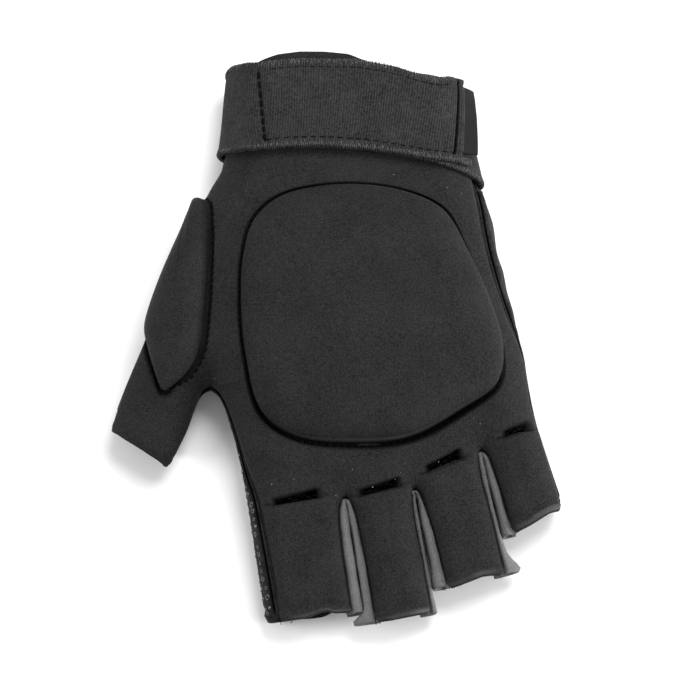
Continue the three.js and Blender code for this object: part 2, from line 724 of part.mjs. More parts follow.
// A strip between two fingers: down one finger's side, round the crotch and down the other's. Its edges are
// tucked under the back panel and over the palm panel.
function fingerStrip(group) {
  const line = GROUPS[group].right;
  const crotch = linePoint(line, CROTCH_ROW);
  const stationAt = (plan, inward, past) => {
    const tuck = SLIT.top.inset * Math.sqrt(clamp(past / SLIT.top.insetRun, 0, 1)) + STRIP.tuck;
    const reach = tuck / (1 - Math.cos(radians(STRIP.degrees[0])));
    const lipX = plan.x + inward.x * tuck;
    const lipY = plan.y + inward.y * tuck;
    const above = skinVertex(lipX, lipY, "top");
    const below = skinVertex(lipX, lipY, "bottom");
    const roof = above.point.z - (NEOPRENE + STRIP.roofGap) / above.normal.z;
    const floor = below.point.z - (SUEDE + STRIP.floorGap) / below.normal.z;
    const [center, half] = [(roof + floor) / 2, (roof - floor) / 2];
    const place = (angle) => {
      const inset = reach * (1 - Math.cos(radians(angle)));
      const height = center + half * Math.sin(radians(angle));
      return new THREE.Vector3(plan.x + inward.x * inset, plan.y + inward.y * inset, height);
    };
    return STRIP.degrees.map((angle) => {
      const slope = place(angle + 1).sub(place(angle - 1)).normalize();
      const side = new THREE.Vector3(-inward.y, inward.x, 0);
      const normal = side.cross(slope).normalize();
      if (normal.x * inward.x + normal.y * inward.y > 0) normal.negate();
      return { point: place(angle), normal };
    });
  };
  const sideStations = (finger, which, sign) => {
    const end = spanEnds(finger, END_ROW)[which];
    const length = end.distanceTo(crotch);
    const inward = new THREE.Vector2(end.y - crotch.y, crotch.x - end.x).normalize().multiplyScalar(sign);
    return [...STRIP.pasts.filter((past) => past < length - 3), length - STRIP.endInset].map((past) => {
      const plan = spanEnds(finger, CROTCH_ROW + past / length)[which];
      return stationAt(plan, inward, past);
    });
  };
  const left = sideStations(group, 1, 1).reverse();
  const right = sideStations(group + 1, 0, -1);
  const apex = STRIP.apexTurns.map((turn) => {
    const inward = new THREE.Vector2(Math.cos(radians(turn)), Math.sin(radians(turn)));
    const plan = crotch.clone().add(new THREE.Vector2(0, -STRIP.apexPast));
    return stationAt(plan.addScaledVector(inward, 0.15), inward, 0);
  });
  return closeSheet(flipped(sheetOf([...left, ...apex, ...right])), LYCRA);
}

// A point on the closed ring of the wrist's section, at a station of RING.
function ringPoint(row, station) {
  const run = HAND_AND_THUMB;
  const k = ((station % RING.lap) + RING.lap) % RING.lap;
  const width = runWidth(run, row);
  if (k < RING.back) {
    const from = sideRadius(run, "left", row, "top");
    const to = width - sideRadius(run, "right", row, "top");
    return acrossPoint(run, row, lerp(from, to, k / RING.back), "top");
  }
  if (k < RING.ulnarSide) return sidePoint(run, row, "right", 90 - (k - RING.back) * RING.sideStep);
  if (k < RING.palm) {
    const from = width - sideRadius(run, "right", row, "bottom");
    const to = sideRadius(run, "left", row, "bottom");
    return acrossPoint(run, row, lerp(from, to, (k - RING.ulnarSide) / (RING.palm - RING.ulnarSide)), "bottom");
  }
  return sidePoint(run, row, "left", -90 + (k - RING.palm) * RING.sideStep);
}

// A vertex raised off the ring; the ring runs clockwise seen from the fingers, so out is across times down.
function ringVertex(row, station, height) {
  const across = ringPoint(row, station + 0.1).sub(ringPoint(row, station - 0.1));
  const down = ringPoint(row + ROW_STEP, station).sub(ringPoint(row - ROW_STEP, station));
  const normal = down.cross(across).normalize();
  return { point: ringPoint(row, station).addScaledVector(normal, height), normal };
}

const strapEnd = (t) => STRAP.end + STRAP.endSkew * (0.5 - t);

function wristStrap() {
  const layer = LAYER_GAP + ELASTIC;
  const rows = [];
  for (let w = 0; w <= STRAP.widthSteps; w += 1) {
    const t = w / STRAP.widthSteps;
    const vertices = [];
    for (let i = 0; i <= STRAP.stations; i += 1) {
      const station = lerp(STRAP.start, strapEnd(t), i / STRAP.stations);
      const row = lerp(STRAP.upperRow, STRAP.lowerRow, t) + STRAP.shiftPerStation * (STRAP.end - station);
      const climb = smooth(clamp((station - STRAP.rampStart) / (STRAP.rampEnd - STRAP.rampStart), 0, 1));
      vertices.push(ringVertex(row, station, layer * (1 + climb)));
    }
    rows.push(vertices);
  }
  return closeSheet(sheetOf(rows), ELASTIC);
}

function strapLabel() {
  const height = LAYER_GAP + ELASTIC + LAYER_GAP + LABEL;
  const rows = [];
  for (let w = 0; w <= STRAP_LABEL.widthSteps; w += 1) {
    const t = w / STRAP_LABEL.widthSteps;
    const row = lerp(STRAP_LABEL.upperRow, STRAP_LABEL.lowerRow, t);
    const strapShare = (row - STRAP.upperRow) / (STRAP.lowerRow - STRAP.upperRow);
    const vertices = [];
    for (let i = 0; i <= STRAP_LABEL.stations; i += 1) {
      const past = STRAP_LABEL.start + (STRAP_LABEL.length * i) / STRAP_LABEL.stations;
      const station = strapEnd(strapShare) + past;
      vertices.push(ringVertex(row, station, height));
    }
    rows.push(vertices);
  }
  return closeSheet(sheetOf(rows), LABEL);
}

// A foam pad on the back: rings of vertices from its outline to its middle, with a flat seat below.
function foamPad(pad) {
  const curve = new THREE.CatmullRomCurve3(pad.outline.map(({ x, y }) => new THREE.Vector3(x, y, 0)), true);
  const outline = curve.getSpacedPoints(pad.sectors).slice(0, -1);
  const center = new THREE.Vector3(pad.center.x, pad.center.y, 0);
  const rings = [];
  const addRing = (placeOf, depthOf) => {
    rings.push(outline.map((corner) => ({ place: placeOf(corner), depth: depthOf(corner) })));
  };
  const innermost = pad.ringDepths.at(-1);
  for (const depth of pad.ringDepths) {
    addRing((corner) => corner.clone().lerp(center, depth / corner.distanceTo(center)), () => depth);
  }
  for (const share of pad.innerShares) {
    const keep = (corner) => share * (1 - innermost / corner.distanceTo(center));
    addRing((corner) => center.clone().lerp(corner, keep(corner)), () => pad.rounding);
  }
  const raise = ({ place, depth }) => {
    const { point, normal } = skinVertex(place.x, place.y, "top");
    const { atCenter, perX, perY } = pad.rise;
    const rise = atCenter + perX * (place.x - center.x) + perY * (place.y - center.y);
    const height = pad.edge + rise * (1 - edgeDrop(depth / pad.rounding));
    return [
      point.clone().addScaledVector(normal, PAD_GAP + height),
      point.clone().addScaledVector(normal, PAD_GAP),
    ];
  };
  const middle = { place: center, depth: pad.rounding };
  const vertices = [...rings.flat(), middle].map(raise);
  const count = vertices.length;
  const positions = [...vertices.map(([top]) => top), ...vertices.map(([, bottom]) => bottom)];
  const index = [];
  const addFace = (a, b, c) => index.push(a, b, c, a + count, c + count, b + count);
  const sectors = outline.length;
  for (let s = 0; s < sectors; s += 1) {
    const next = (s + 1) % sectors;
    for (let ring = 0; ring < rings.length - 1; ring += 1) {
      const [a, b] = [ring * sectors + s, ring * sectors + next];
      addFace(a, a + sectors, b + sectors);
      addFace(a, b + sectors, b);
    }
    const inner = (rings.length - 1) * sectors;
    addFace(inner + s, count - 1, inner + next);
    index.push(s, next, next + count, s, next + count, s + count);
  }
  const geometry = new THREE.BufferGeometry().setFromPoints(positions);
  geometry.setIndex(index);
  return geometry;
}

function fabric(color, roughness) {
  return new THREE.MeshStandardMaterial({ color, roughness, metalness: 0 });
}

const neoprene = fabric(COLORS.neoprene, 0.85);
const suede = fabric(COLORS.suede, 0.7);
const lycra = fabric(COLORS.lycra, 0.8);
const elastic = fabric(COLORS.elastic, 0.9);
const label = fabric(COLORS.label, 0.6);

const glove = new THREE.Group();

function addPiece(name, geometry, material) {
  const piece = new THREE.Mesh(geometry, material);
  piece.name = name;
  glove.add(piece);
}

addPiece("back_panel", backPanel(), neoprene);
addPiece("palm_panel", palmPanel(), suede);
for (const group of groupsOf(HAND).slice(0, -1)) {
  addPiece(`fourchette_${GROUPS[group].name}_${GROUPS[group + 1].name}`, fingerStrip(group), lycra);
}
addPiece("hand_pad", foamPad(HAND_PAD), neoprene);
addPiece("thumb_pad", foamPad(THUMB_PAD), neoprene);
addPiece("wrist_strap", wristStrap(), elastic);
addPiece("strap_label", strapLabel(), label);

// The origin is the middle of the footprint, on the surface that the palm rests on.
const box = new THREE.Box3().setFromObject(glove);
const middle = box.getCenter(new THREE.Vector3());
glove.position.set(-middle.x, -middle.y, -box.min.z);

export default glove;
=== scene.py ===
"""A half-finger field hockey glove for the left hand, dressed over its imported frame.

The plan tables are in millimetres in the plan's own place; ORIGIN moves them into the frame. Every mesh is in
metres. +X is the little finger's side, +Y the wrist and +Z out of the back of the hand.
"""

import math
import random
from functools import lru_cache

import bpy
import numpy as np
from bpy.props import FloatProperty, FloatVectorProperty, PointerProperty
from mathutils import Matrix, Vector, kdtree, noise
from mathutils.bvhtree import BVHTree
from numpy.linalg import norm


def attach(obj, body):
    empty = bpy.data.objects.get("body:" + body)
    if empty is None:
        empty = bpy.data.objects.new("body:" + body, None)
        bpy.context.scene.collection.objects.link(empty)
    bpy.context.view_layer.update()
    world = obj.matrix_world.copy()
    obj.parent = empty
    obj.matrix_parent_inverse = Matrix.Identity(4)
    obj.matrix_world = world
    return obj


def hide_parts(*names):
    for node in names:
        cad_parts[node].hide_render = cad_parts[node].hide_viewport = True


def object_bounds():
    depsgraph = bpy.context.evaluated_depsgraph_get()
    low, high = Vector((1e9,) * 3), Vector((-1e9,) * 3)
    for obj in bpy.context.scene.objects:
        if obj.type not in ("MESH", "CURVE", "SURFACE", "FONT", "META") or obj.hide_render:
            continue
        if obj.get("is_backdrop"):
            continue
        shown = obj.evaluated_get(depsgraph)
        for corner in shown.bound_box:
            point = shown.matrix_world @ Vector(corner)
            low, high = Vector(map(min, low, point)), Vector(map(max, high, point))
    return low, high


bl_info = {
    "name": "Half-Finger Field Hockey Glove",
    "version": (1, 0, 0),
    "blender": (4, 5, 0),
    "location": "3D View > Sidebar > Glove",
    "description": "Builds a padded half-finger field hockey glove over its packed frame",
    "category": "Add Mesh",
}

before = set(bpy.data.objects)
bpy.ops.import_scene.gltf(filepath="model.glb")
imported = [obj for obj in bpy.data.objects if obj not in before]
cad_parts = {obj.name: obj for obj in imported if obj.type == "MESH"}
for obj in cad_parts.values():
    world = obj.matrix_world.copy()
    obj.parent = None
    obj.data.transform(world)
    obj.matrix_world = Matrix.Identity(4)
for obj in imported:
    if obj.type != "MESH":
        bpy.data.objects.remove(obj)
CAD_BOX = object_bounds()

MM = 0.001
ORIGIN = np.array([0.6, -1.659, 0.0])

# Cross-rows of the plan: 0 cuff, 1 lower edge of the strap, 2 top of the thumb pad, 5 the web of the thumb,
# 6 the knuckles and the end of the thumb sleeve, 7 the finger crotches, 8 the finger ends.
WEB_ROW = 5
THUMB_END_ROW = 6
CROTCH_ROW = 7
END_ROW = 8

# The lines of the plan from the cuff towards the fingertips: row, x, y.
LINES = {
    "thumb_outer": [
        (0, -37.5, 97.5), (1, -40.3, 64.6), (2, -45.6, 52), (3, -56.4, 31.5), (4, -63.6, 12),
        (5, -66.4, 0), (5.5, -72.4, -15.5), (6, -77.9, -31),
    ],
    "thumb_inner": [
        (5, -43.1, -17.7), (5.1, -45.6, -19), (5.25, -47.9, -23.6), (5.6, -51.2, -33), (6, -56.6, -44.6),
    ],
    "web": [(0, -30, 98), (1, -34, 64.5), (2, -40, 50), (3, -42.5, 27), (4, -44, 4), (5, -43.1, -17.7)],
    "index_outer": [
        (5, -43.1, -17.7), (5.15, -40.9, -19.6), (5.4, -38.2, -24.6), (6, -34, -38.2), (7, -31, -54.5),
        (7.5, -28, -73), (8, -24.3, -95),
    ],
    "index_middle": [
        (0, -13, 99.6), (1, -10, 63.7), (2, -7, 48), (3, -5, 27), (4, -2.5, 4), (5, -0.5, -19.5),
        (6, 1.2, -38.5), (7, 2.6, -56),
    ],
    "middle_ring": [
        (0, 4, 99.4), (1, 10, 63), (2, 14, 48), (3, 17.5, 27), (4, 21, 4.5), (5, 23.2, -18),
        (6, 24.6, -36), (7, 25.5, -53),
    ],
    "ring_little": [
        (0, 23, 96), (1, 29.5, 59.7), (2, 34, 48), (3, 38.5, 28), (4, 43, 6.5), (5, 45.8, -14),
        (6, 47, -28), (7, 47.9, -40.1),
    ],
    "ulnar": [
        (0, 41.8, 94), (1, 48.4, 55.8), (1.4, 50.8, 51.2), (2, 53.4, 43.5), (3, 55.8, 30), (4, 60.3, 8),
        (5, 64, -9), (6, 66.6, -27), (7, 70.4, -40), (8, 75.9, -57.8),
    ],
}
CROTCH_LINES = ("index_middle", "middle_ring", "ring_little")

# Each group lies between two lines: left line, its far corner, right line, its far corner.
THUMB, INDEX, MIDDLE, RING, LITTLE = range(5)
GROUPS = {
    INDEX: (None, None, "index_middle", (8.5, -93.2)),
    MIDDLE: ("index_middle", (9.0, -96.6), "middle_ring", (32.6, -93.2)),
    RING: ("middle_ring", (32.0, -85.4), "ring_little", (57.3, -80.2)),
    LITTLE: ("ring_little", (54.5, -68.2), None, None),
}
FINGERS = (INDEX, MIDDLE, RING, LITTLE)
HAND_AND_THUMB = (THUMB, LITTLE)
HAND = (INDEX, LITTLE)
FINGER_GAP = 0.35
FINGER_GAP_RUN = 3

# Heights of the hand and reach of its rounded sides: row, top, middle, base, top radius, bottom radius.
HAND_SECTIONS = [
    (0, 23.5, 12, 2.2, 16, 11), (1, 24.5, 12, 2.2, 17, 12), (2, 25, 11.5, 0.8, 17, 12),
    (3, 25.5, 11, 0, 17, 12), (4, 25.5, 10.5, 0, 17, 12), (5, 24, 10, 0, 15, 11),
    (6, 21.5, 9, 0, 13, 9), (7, 18, 8, 0, 10.5, 7), (8, 14, 6.5, 0, 9, 6),
]
THUMB_SECTIONS = [
    (0, 23.5, 12, 2.2, 16, 11), (1, 24.5, 12, 2.2, 17, 12), (2, 25, 11.5, 0.8, 17, 12),
    (3, 24.5, 10.5, 0, 17, 12), (4, 22.5, 10, 0, 16, 12), (5, 20, 9.5, 0, 15, 11),
    (6, 15, 7.5, 0, 11, 8),
]
THUMB_BLEND_ROWS = 0.6
CROWN_RISE = 1.5
CROWN_CENTER = np.array([8, 12])
CROWN_REACH = np.array([48, 75])

# How far above the widest level the seam between back and palm lies: row, degrees of the rounded side.
SEAMS = {
    "thumb_outer": [(0, 8), (6, 8)],
    "thumb_inner": [(5, 8), (5.25, -12), (6, -16)],
    "index_outer": [(5, 8), (5.8, 14), (6.55, 28), (7.15, 49), (8, 61)],
    "ulnar": [
        (0, 8), (1, 19), (1.4, 33), (2, 42), (3, 42), (3.5, 40), (4, 33), (5, 10), (6, 12), (8, 18),
    ],
}
SEAM_GAP = 0.5
LAYER_GAP = 0.4
LEAST_FLAT = 1.2

# The slit between two fingers: radius and dip of its rounded sides, above and below.
SLIT_TOP = (9, 0.35)
SLIT_BOTTOM = (7, 0.12)

# How far the back's edge stands away from the side of its finger, which it nears over a run from the crotch:
# reach and run beside the left finger, then beside the right one.
LIPS = {
    "index_middle": ((2.4, 6), (1.9, 10)),
    "middle_ring": ((0.25, 6), (2.9, 16)),
    "ring_little": ((0.6, 4), (2.2, 14)),
}
PALM_LIP = (2.2, 6)

# The two sides of a run of groups, and the line that each one follows where it is the glove's own side.
LEFT, RIGHT = 0, 1
SIDES = (LEFT, RIGHT)
OUTER_LINES = ({THUMB: "thumb_outer", INDEX: "index_outer"}, {THUMB: "thumb_inner", LITTLE: "ulnar"})
WEB_LINES = ("thumb_inner", "index_outer")

SLIT_FULL_DROP = 0.88
SLIT_DROP_RUN = 9
CROTCH_ANGLE = 1.6


def clamp(value, low=0.0, high=1.0):
    return np.minimum(high, np.maximum(low, value))


def smooth(t):
    t = clamp(t)
    return t * t * (3 - 2 * t)


def unit(vectors):
    """Each row of an array, or one vector, at length one."""
    vectors = np.asarray(vectors, float)
    lengths = norm(vectors, axis=-1, keepdims=True)
    return vectors / np.maximum(lengths, 1e-12)


def along(table, row):
    """A smooth curve through a table's rows: its other columns, read at any row number."""
    last = len(table) - 1
    i = 0
    while i < last - 1 and row > table[i + 1][0]:
        i += 1
    a, b = np.array(table[i], float), np.array(table[i + 1], float)
    before = np.array(table[max(0, i - 1)], float)
    after = np.array(table[min(last, i + 2)], float)
    span = b[0] - a[0]
    t = min(1.0, max(0.0, (row - a[0]) / span))
    slope_a = (b - before)[1:] / (b[0] - before[0]) * span
    slope_b = (after - a)[1:] / (after[0] - a[0]) * span
    t2, t3 = t * t, t * t * t
    return (
        a[1:] * (2 * t3 - 3 * t2 + 1)
        + slope_a * (t3 - 2 * t2 + t)
        + b[1:] * (3 * t2 - 2 * t3)
        + slope_b * (t3 - t2)
    )


@lru_cache(maxsize=None)
def line_point(name, row):
    return along(LINES[name], row)


def slit_point(name, end, sign, row):
    """A finger's side beside a slit: on the shared line to the crotch, then straight to the finger's end."""
    if row <= CROTCH_ROW:
        return line_point(name, row)
    crotch = line_point(name, CROTCH_ROW)
    point = crotch + (np.array(end) - crotch) * (row - CROTCH_ROW)
    shift = FINGER_GAP * min(1.0, norm(point - crotch) / FINGER_GAP_RUN)
    return point + np.array([sign * shift, 0])


@lru_cache(maxsize=None)
def span_ends(group, row):
    """The two ends of a group's cross-line at a row."""
    if group == THUMB:
        inner = "web" if row <= WEB_ROW else "thumb_inner"
        return line_point("thumb_outer", row), line_point(inner, row)
    left, end_left, right, end_right = GROUPS[group]
    outer = "web" if row <= WEB_ROW else "index_outer"
    start = slit_point(left, end_left, 1, row) if left else line_point(outer, row)
    end = slit_point(right, end_right, -1, row) if right else line_point("ulnar", row)
    return start, end


def lip_inset(lip, past):
    """How far an edge stands back from the side of its finger, past the crotch."""
    reach, run = lip
    return reach * (1 - math.exp(-past / run))


def edge_drop(share):
    """How far a quarter-round side has dropped at a share of its radius: 1 at the side, 0 on the flat."""
    u = clamp(1 - share)
    return 1 - np.sqrt(1 - u * u)


def crown_at(plan):
    away = norm((plan - CROWN_CENTER) / CROWN_REACH, axis=-1)
    return CROWN_RISE * (1 - smooth(away))


class CrossRow:
    """One cross-row of the glove's skin, over a run of groups that are one tube there."""

    def __init__(self, run, row):
        self.run, self.row = run, row
        ends = [span_ends(group, row) for group in range(run[0], run[1] + 1)]
        self.start = np.array([start for start, _ in ends])
        self.step = np.array([end - start for start, end in ends])
        self.spans = norm(self.step, axis=1)
        self.before = np.concatenate([[0], np.cumsum(self.spans)])
        self.width = self.before[-1]
        self.hand = along(HAND_SECTIONS, row)
        self.thumb = along(THUMB_SECTIONS, row)
        self.hand[2] = self.thumb[2] = max(0.0, self.hand[2])
        self.lips = {}
        self.sides = [self.side_of(which) for which in SIDES]

    def side_of(self, which):
        """The outer line of a side, or how far past its crotch a side of a slit is."""
        edge = self.run[which]
        if edge in OUTER_LINES[which]:
            return OUTER_LINES[which][edge]
        line = GROUPS[edge][2 * which]
        self.lips[which] = LIPS[line][1 - which]
        point = span_ends(edge, max(self.row, CROTCH_ROW))[which]
        return float(norm(point - line_point(line, CROTCH_ROW)))

    def section(self, group, share):
        """Top, middle, base and the two radii at places across the row; the thumb's own grow outwards."""
        towards_hand = clamp(share) * (1 - clamp((self.row - WEB_ROW) / THUMB_BLEND_ROWS))
        mix = np.where(group == THUMB, towards_hand, 1.0)
        return self.thumb + (self.hand - self.thumb) * mix[:, None]

    def edge_section(self, which):
        return self.section(np.array([self.run[which]]), np.array([float(which)]))[0]

    def side_radius(self, which, top):
        if not isinstance(self.sides[which], str):
            return (SLIT_TOP if top else SLIT_BOTTOM)[0]
        return self.edge_section(which)[3 if top else 4]

    def flat_start(self, which, top):
        """How far in a rounded side ends, and its angle there: 90 degrees unless the row is too narrow."""
        radius = self.side_radius(which, top)
        inset = min(radius, self.width / 2 - LEAST_FLAT)
        return inset, math.degrees(math.acos(1 - inset / radius))

    def points(self, distance, top):
        """Points of the skin at distances across the row, on its back or on its palm."""
        distance = np.asarray(distance, float)
        index = np.searchsorted(self.before[1:-1], distance, side="left")
        share = (distance - self.before[index]) / self.spans[index]
        plan = self.start[index] + self.step[index] * share[:, None]
        section = self.section(self.run[0] + index, share)
        radius = section[:, 3 if top else 4]
        slit_radius, dip = SLIT_TOP if top else SLIT_BOTTOM
        falls = []
        for side, away in zip(self.sides, (distance, self.width - distance)):
            if isinstance(side, str):
                falls.append(edge_drop(away / radius))
            else:
                drop = dip + (SLIT_FULL_DROP - dip) * smooth(side / SLIT_DROP_RUN)
                falls.append(drop * edge_drop(away / slit_radius))
        if self.run in (HAND_AND_THUMB, HAND):
            for name in CROTCH_LINES:
                away = norm(plan - line_point(name, CROTCH_ROW), axis=1)
                falls.append(dip * edge_drop(away / slit_radius))
        if self.run == HAND_AND_THUMB:
            away = norm(plan - line_point("web", WEB_ROW), axis=1)
            falls.append(edge_drop(away / along(HAND_SECTIONS, WEB_ROW)[3 if top else 4]))
        fall = clamp(np.sqrt(sum(part * part for part in falls)))
        crest = section[:, 0] + crown_at(plan) if top else section[:, 2]
        height = crest + (section[:, 1] - crest) * fall
        return np.column_stack([plan, height])

    def side_points(self, which, angles, top):
        """Points of a rounded side: 90 degrees is the edge of the flat and 0 the widest level."""
        inset = self.side_radius(which, top) * (1 - np.cos(np.radians(angles)))
        return self.points(self.width - inset if which else inset, top)

    def wrap_points(self, which, angles):
        """Points round a rounded side, from above its widest level, where angles are positive, to below."""
        above = self.side_points(which, np.abs(angles), True)
        below = self.side_points(which, np.abs(angles), False)
        return np.where((angles >= 0)[:, None], above, below)

    def edge_angle(self, which, top, pull):
        """The angle of a panel's edge: at the seam less half the gap, or stood back from the slit."""
        side = self.sides[which]
        if isinstance(side, str):
            section = self.edge_section(which)
            angle = math.radians(along(SEAMS[side], self.row)[0])
            height = section[0] - section[1]
            per_radian = math.hypot(section[3] * math.sin(angle), height * math.cos(angle))
            shift = (SEAM_GAP / 2 + pull) / per_radian
            return math.degrees(angle + (shift if top else -shift))
        radius = self.side_radius(which, top)
        back = lip_inset(self.lips[which] if top else PALM_LIP, side) + pull * float(smooth(side / 2))
        return max(CROTCH_ANGLE, math.degrees(math.acos(1 - back / radius)))


@lru_cache(maxsize=None)
def cross_row(run, row):
    return CrossRow(run, row)


class Sheet:
    """One layer of fabric as rows of vertices that are woven together into faces."""

    def __init__(self):
        self.points = []
        self.to_end = []
        self.faces = []

    def add(self, points, to_end, head=()):
        """A new row; head is vertices that are there already, in place of its first ones."""
        first = len(self.points)
        self.points.extend(points[len(head) :])
        self.to_end.extend([to_end] * (len(self.points) - first))
        return [*head, *range(first, len(self.points))]

    def weave(self, upper, lower):
        """Faces between two rows: squares where they match, and otherwise the shorter diagonal next."""
        if len(upper) == len(lower):
            for k in range(len(upper) - 1):
                self.faces.append((upper[k], lower[k], lower[k + 1], upper[k + 1]))
            return
        i = j = 0
        while i < len(upper) - 1 or j < len(lower) - 1:
            gaps = [math.inf, math.inf]
            if i < len(upper) - 1:
                gaps[0] = norm(self.points[upper[i + 1]] - self.points[lower[j]])
            if j < len(lower) - 1:
                gaps[1] = norm(self.points[lower[j + 1]] - self.points[upper[i]])
            on_upper = gaps[0] <= gaps[1]
            self.faces.append((upper[i], lower[j], upper[i + 1] if on_upper else lower[j + 1]))
            i, j = (i + 1, j) if on_upper else (i, j + 1)

    def weave_rows(self, rows):
        for upper, lower in zip(rows, rows[1:]):
            self.weave(upper, lower)


def rows_between(bands, end=None):
    """Row numbers of bands that meet: each band's last row, or the end, and its number of steps to there."""
    rows = [bands[0][0]]
    for high, steps in bands[1:]:
        low, high = rows[-1], end if high is None else high
        rows.extend(low + (high - low) * (k + 1) / steps for k in range(steps))
    return [round(row, 5) for row in rows]


def grid_faces(rows, columns, first=0, closed=False):
    """Squares over a grid of points that are listed row by row; closed joins each row's end to its start."""
    faces = []
    for i in range(rows - 1):
        for k in range(columns if closed else columns - 1):
            a, b = first + i * columns + k, first + i * columns + (k + 1) % columns
            faces.append((a, b, b + columns, a + columns))
    return faces


def triangles_of(faces):
    return np.array([(f[0], f[k], f[k + 1]) for f in faces for k in range(1, len(f) - 1)])


def vertex_normals(points, faces):
    corners = triangles_of(faces)
    a, b, c = (points[corners[:, k]] for k in range(3))
    face_normals = np.cross(b - a, c - a)
    normals = np.zeros_like(points)
    for k in range(3):
        np.add.at(normals, corners[:, k], face_normals)
    return unit(normals)


def rim_edges(faces):
    """The directed edges that only one face has."""
    directed = {}
    for face in faces:
        for a, b in zip(face, (*face[1:], face[0])):
            directed[(a, b)] = True
    return [edge for edge in directed if (edge[1], edge[0]) not in directed]


def tree_of(points):
    tree = kdtree.KDTree(len(points))
    for i, point in enumerate(points):
        tree.insert(point, i)
    tree.balance()
    return tree


RIM_STEPS = 6


def close_sheet(points, faces, depth, thickness, bulge):
    """A layer of fabric at its thickness: the outer face sunk by depth, the inner face and a rounded rim."""
    normals = vertex_normals(points, faces)
    count = len(points)
    outer = points - normals * depth[:, None]
    inner = points - normals * thickness
    edges = rim_edges(faces)
    outward = {}
    for a, b in edges:
        push = np.cross(unit(points[b] - points[a]), unit(normals[a] + normals[b]))
        for corner in (a, b):
            outward[corner] = outward.get(corner, 0) + push
    rim = list(outward)
    rings = []
    all_points = [outer, inner]
    total = 2 * count
    for step in range(1, RIM_STEPS):
        turn = math.pi * step / RIM_STEPS
        half = (outer[rim] - inner[rim]) / 2
        center = (outer[rim] + inner[rim]) / 2
        out = unit([outward[corner] for corner in rim])
        all_points.append(center + half * math.cos(turn) + out * bulge * math.sin(turn))
        rings.append({corner: total + i for i, corner in enumerate(rim)})
        total += len(rim)
    rings = [{corner: corner for corner in rim}, *rings, {corner: corner + count for corner in rim}]
    closed = list(faces)
    closed.extend(tuple(i + count for i in reversed(face)) for face in faces)
    for a, b in edges:
        for near, far in zip(rings, rings[1:]):
            closed.append((near[b], near[a], far[a], far[b]))
    return np.concatenate(all_points), closed


class Skin:
    """Finds the skin's height and direction at places of the plan by looking straight down or up."""

    def __init__(self, points, faces, top):
        self.top = top
        self.tree = BVHTree.FromPolygons([tuple(p) for p in points], faces)
        self.start = 200.0 if top else -200.0
        self.down = Vector((0, 0, -1.0 if top else 1.0))

    def height(self, x, y):
        found = self.tree.ray_cast(Vector((x, y, self.start)), self.down)[0]
        if found is None:
            near = self.tree.find_nearest(Vector((x, y, 12)))[0]
            return near.z
        return found.z

    def at(self, x, y, step=0.9):
        """A point of the skin and its outward direction."""
        slope_x = (self.height(x + step, y) - self.height(x - step, y)) / (2 * step)
        slope_y = (self.height(x, y + step) - self.height(x, y - step)) / (2 * step)
        normal = unit([-slope_x, -slope_y, 1.0])
        return np.array([x, y, self.height(x, y)]), normal if self.top else -normal


TOP_SIDE = 15
BACK_FLAT = {"upper": 96, "hand": 92, "thumb": 14, "finger": 18}
PALM_FLAT = {"upper": 60, "hand": 56, "thumb": 10, "finger": 14}
PALM_CLIMB = 6
CLIMB_SHARES = np.array([0, 0.04, 0.1, 0.2, 0.4, 0.7])
PALM_SIDE = 10
LEAST_CLIMB = 2.0


CORNER_CUT = 1.6
CORNER_RUN = 3.6


def corner_cut(to_end):
    """How much further an edge stands back where it rounds into an open end."""
    return CORNER_CUT * float(clamp(1 - to_end / CORNER_RUN)) ** 2


def back_row(run, row, flat, pull):
    """One cross-row of the back panel, from the thumb's side to the little finger's."""
    cross = cross_row(run, row)
    sides, insets = [], []
    for which in SIDES:
        inset, angle = cross.flat_start(which, True)
        insets.append(inset)
        angles = np.linspace(cross.edge_angle(which, True, pull), angle, TOP_SIDE + 1)
        sides.append(cross.wrap_points(which, angles))
        if row == WEB_ROW and cross.sides[which] in WEB_LINES:
            sides[which][0, :2] = line_point("web", WEB_ROW)
    middle = cross.points(np.linspace(insets[0], cross.width - insets[1], flat + 2)[1:-1], True)
    return np.vstack([sides[0], middle, sides[1][::-1]])


def palm_row(run, row, flat, pull):
    """One cross-row of the palm panel, with the strips that climb the outer sides."""
    cross = cross_row(run, row)
    sides, insets = [], []
    for which in SIDES:
        angle = cross.edge_angle(which, False, pull)
        inset, flat_angle = cross.flat_start(which, False)
        insets.append(inset)
        if isinstance(cross.sides[which], str):
            low = 0.0 if angle > LEAST_CLIMB else angle - LEAST_CLIMB
            climb = angle + (low - angle) * CLIMB_SHARES
            under = np.linspace(low, -flat_angle, PALM_SIDE + 1)
            side = cross.wrap_points(which, np.concatenate([climb, under]))
            if row == WEB_ROW and cross.sides[which] in WEB_LINES:
                side[: PALM_CLIMB + 1, :2] = line_point("web", WEB_ROW)
        else:
            side = cross.side_points(which, np.linspace(angle, flat_angle, PALM_SIDE + 1), False)
        sides.append(side)
    middle = cross.points(np.linspace(insets[0], cross.width - insets[1], flat + 2)[1:-1], False)
    return np.vstack([sides[0], middle, sides[1][::-1]])


def finger_length(group):
    middle = [np.mean(span_ends(group, row), axis=0) for row in (CROTCH_ROW, END_ROW)]
    return float(norm(middle[1] - middle[0]))


CUFF_LENGTH = 35
THUMB_SLEEVE_LENGTH = 28
FAR = 99.0


# How far the rounded rim of each end stands back from the glove's full length.
END_PULLS = {THUMB: 0.5, INDEX: 1.3, MIDDLE: 0.6, RING: 0.5, LITTLE: 0.4}

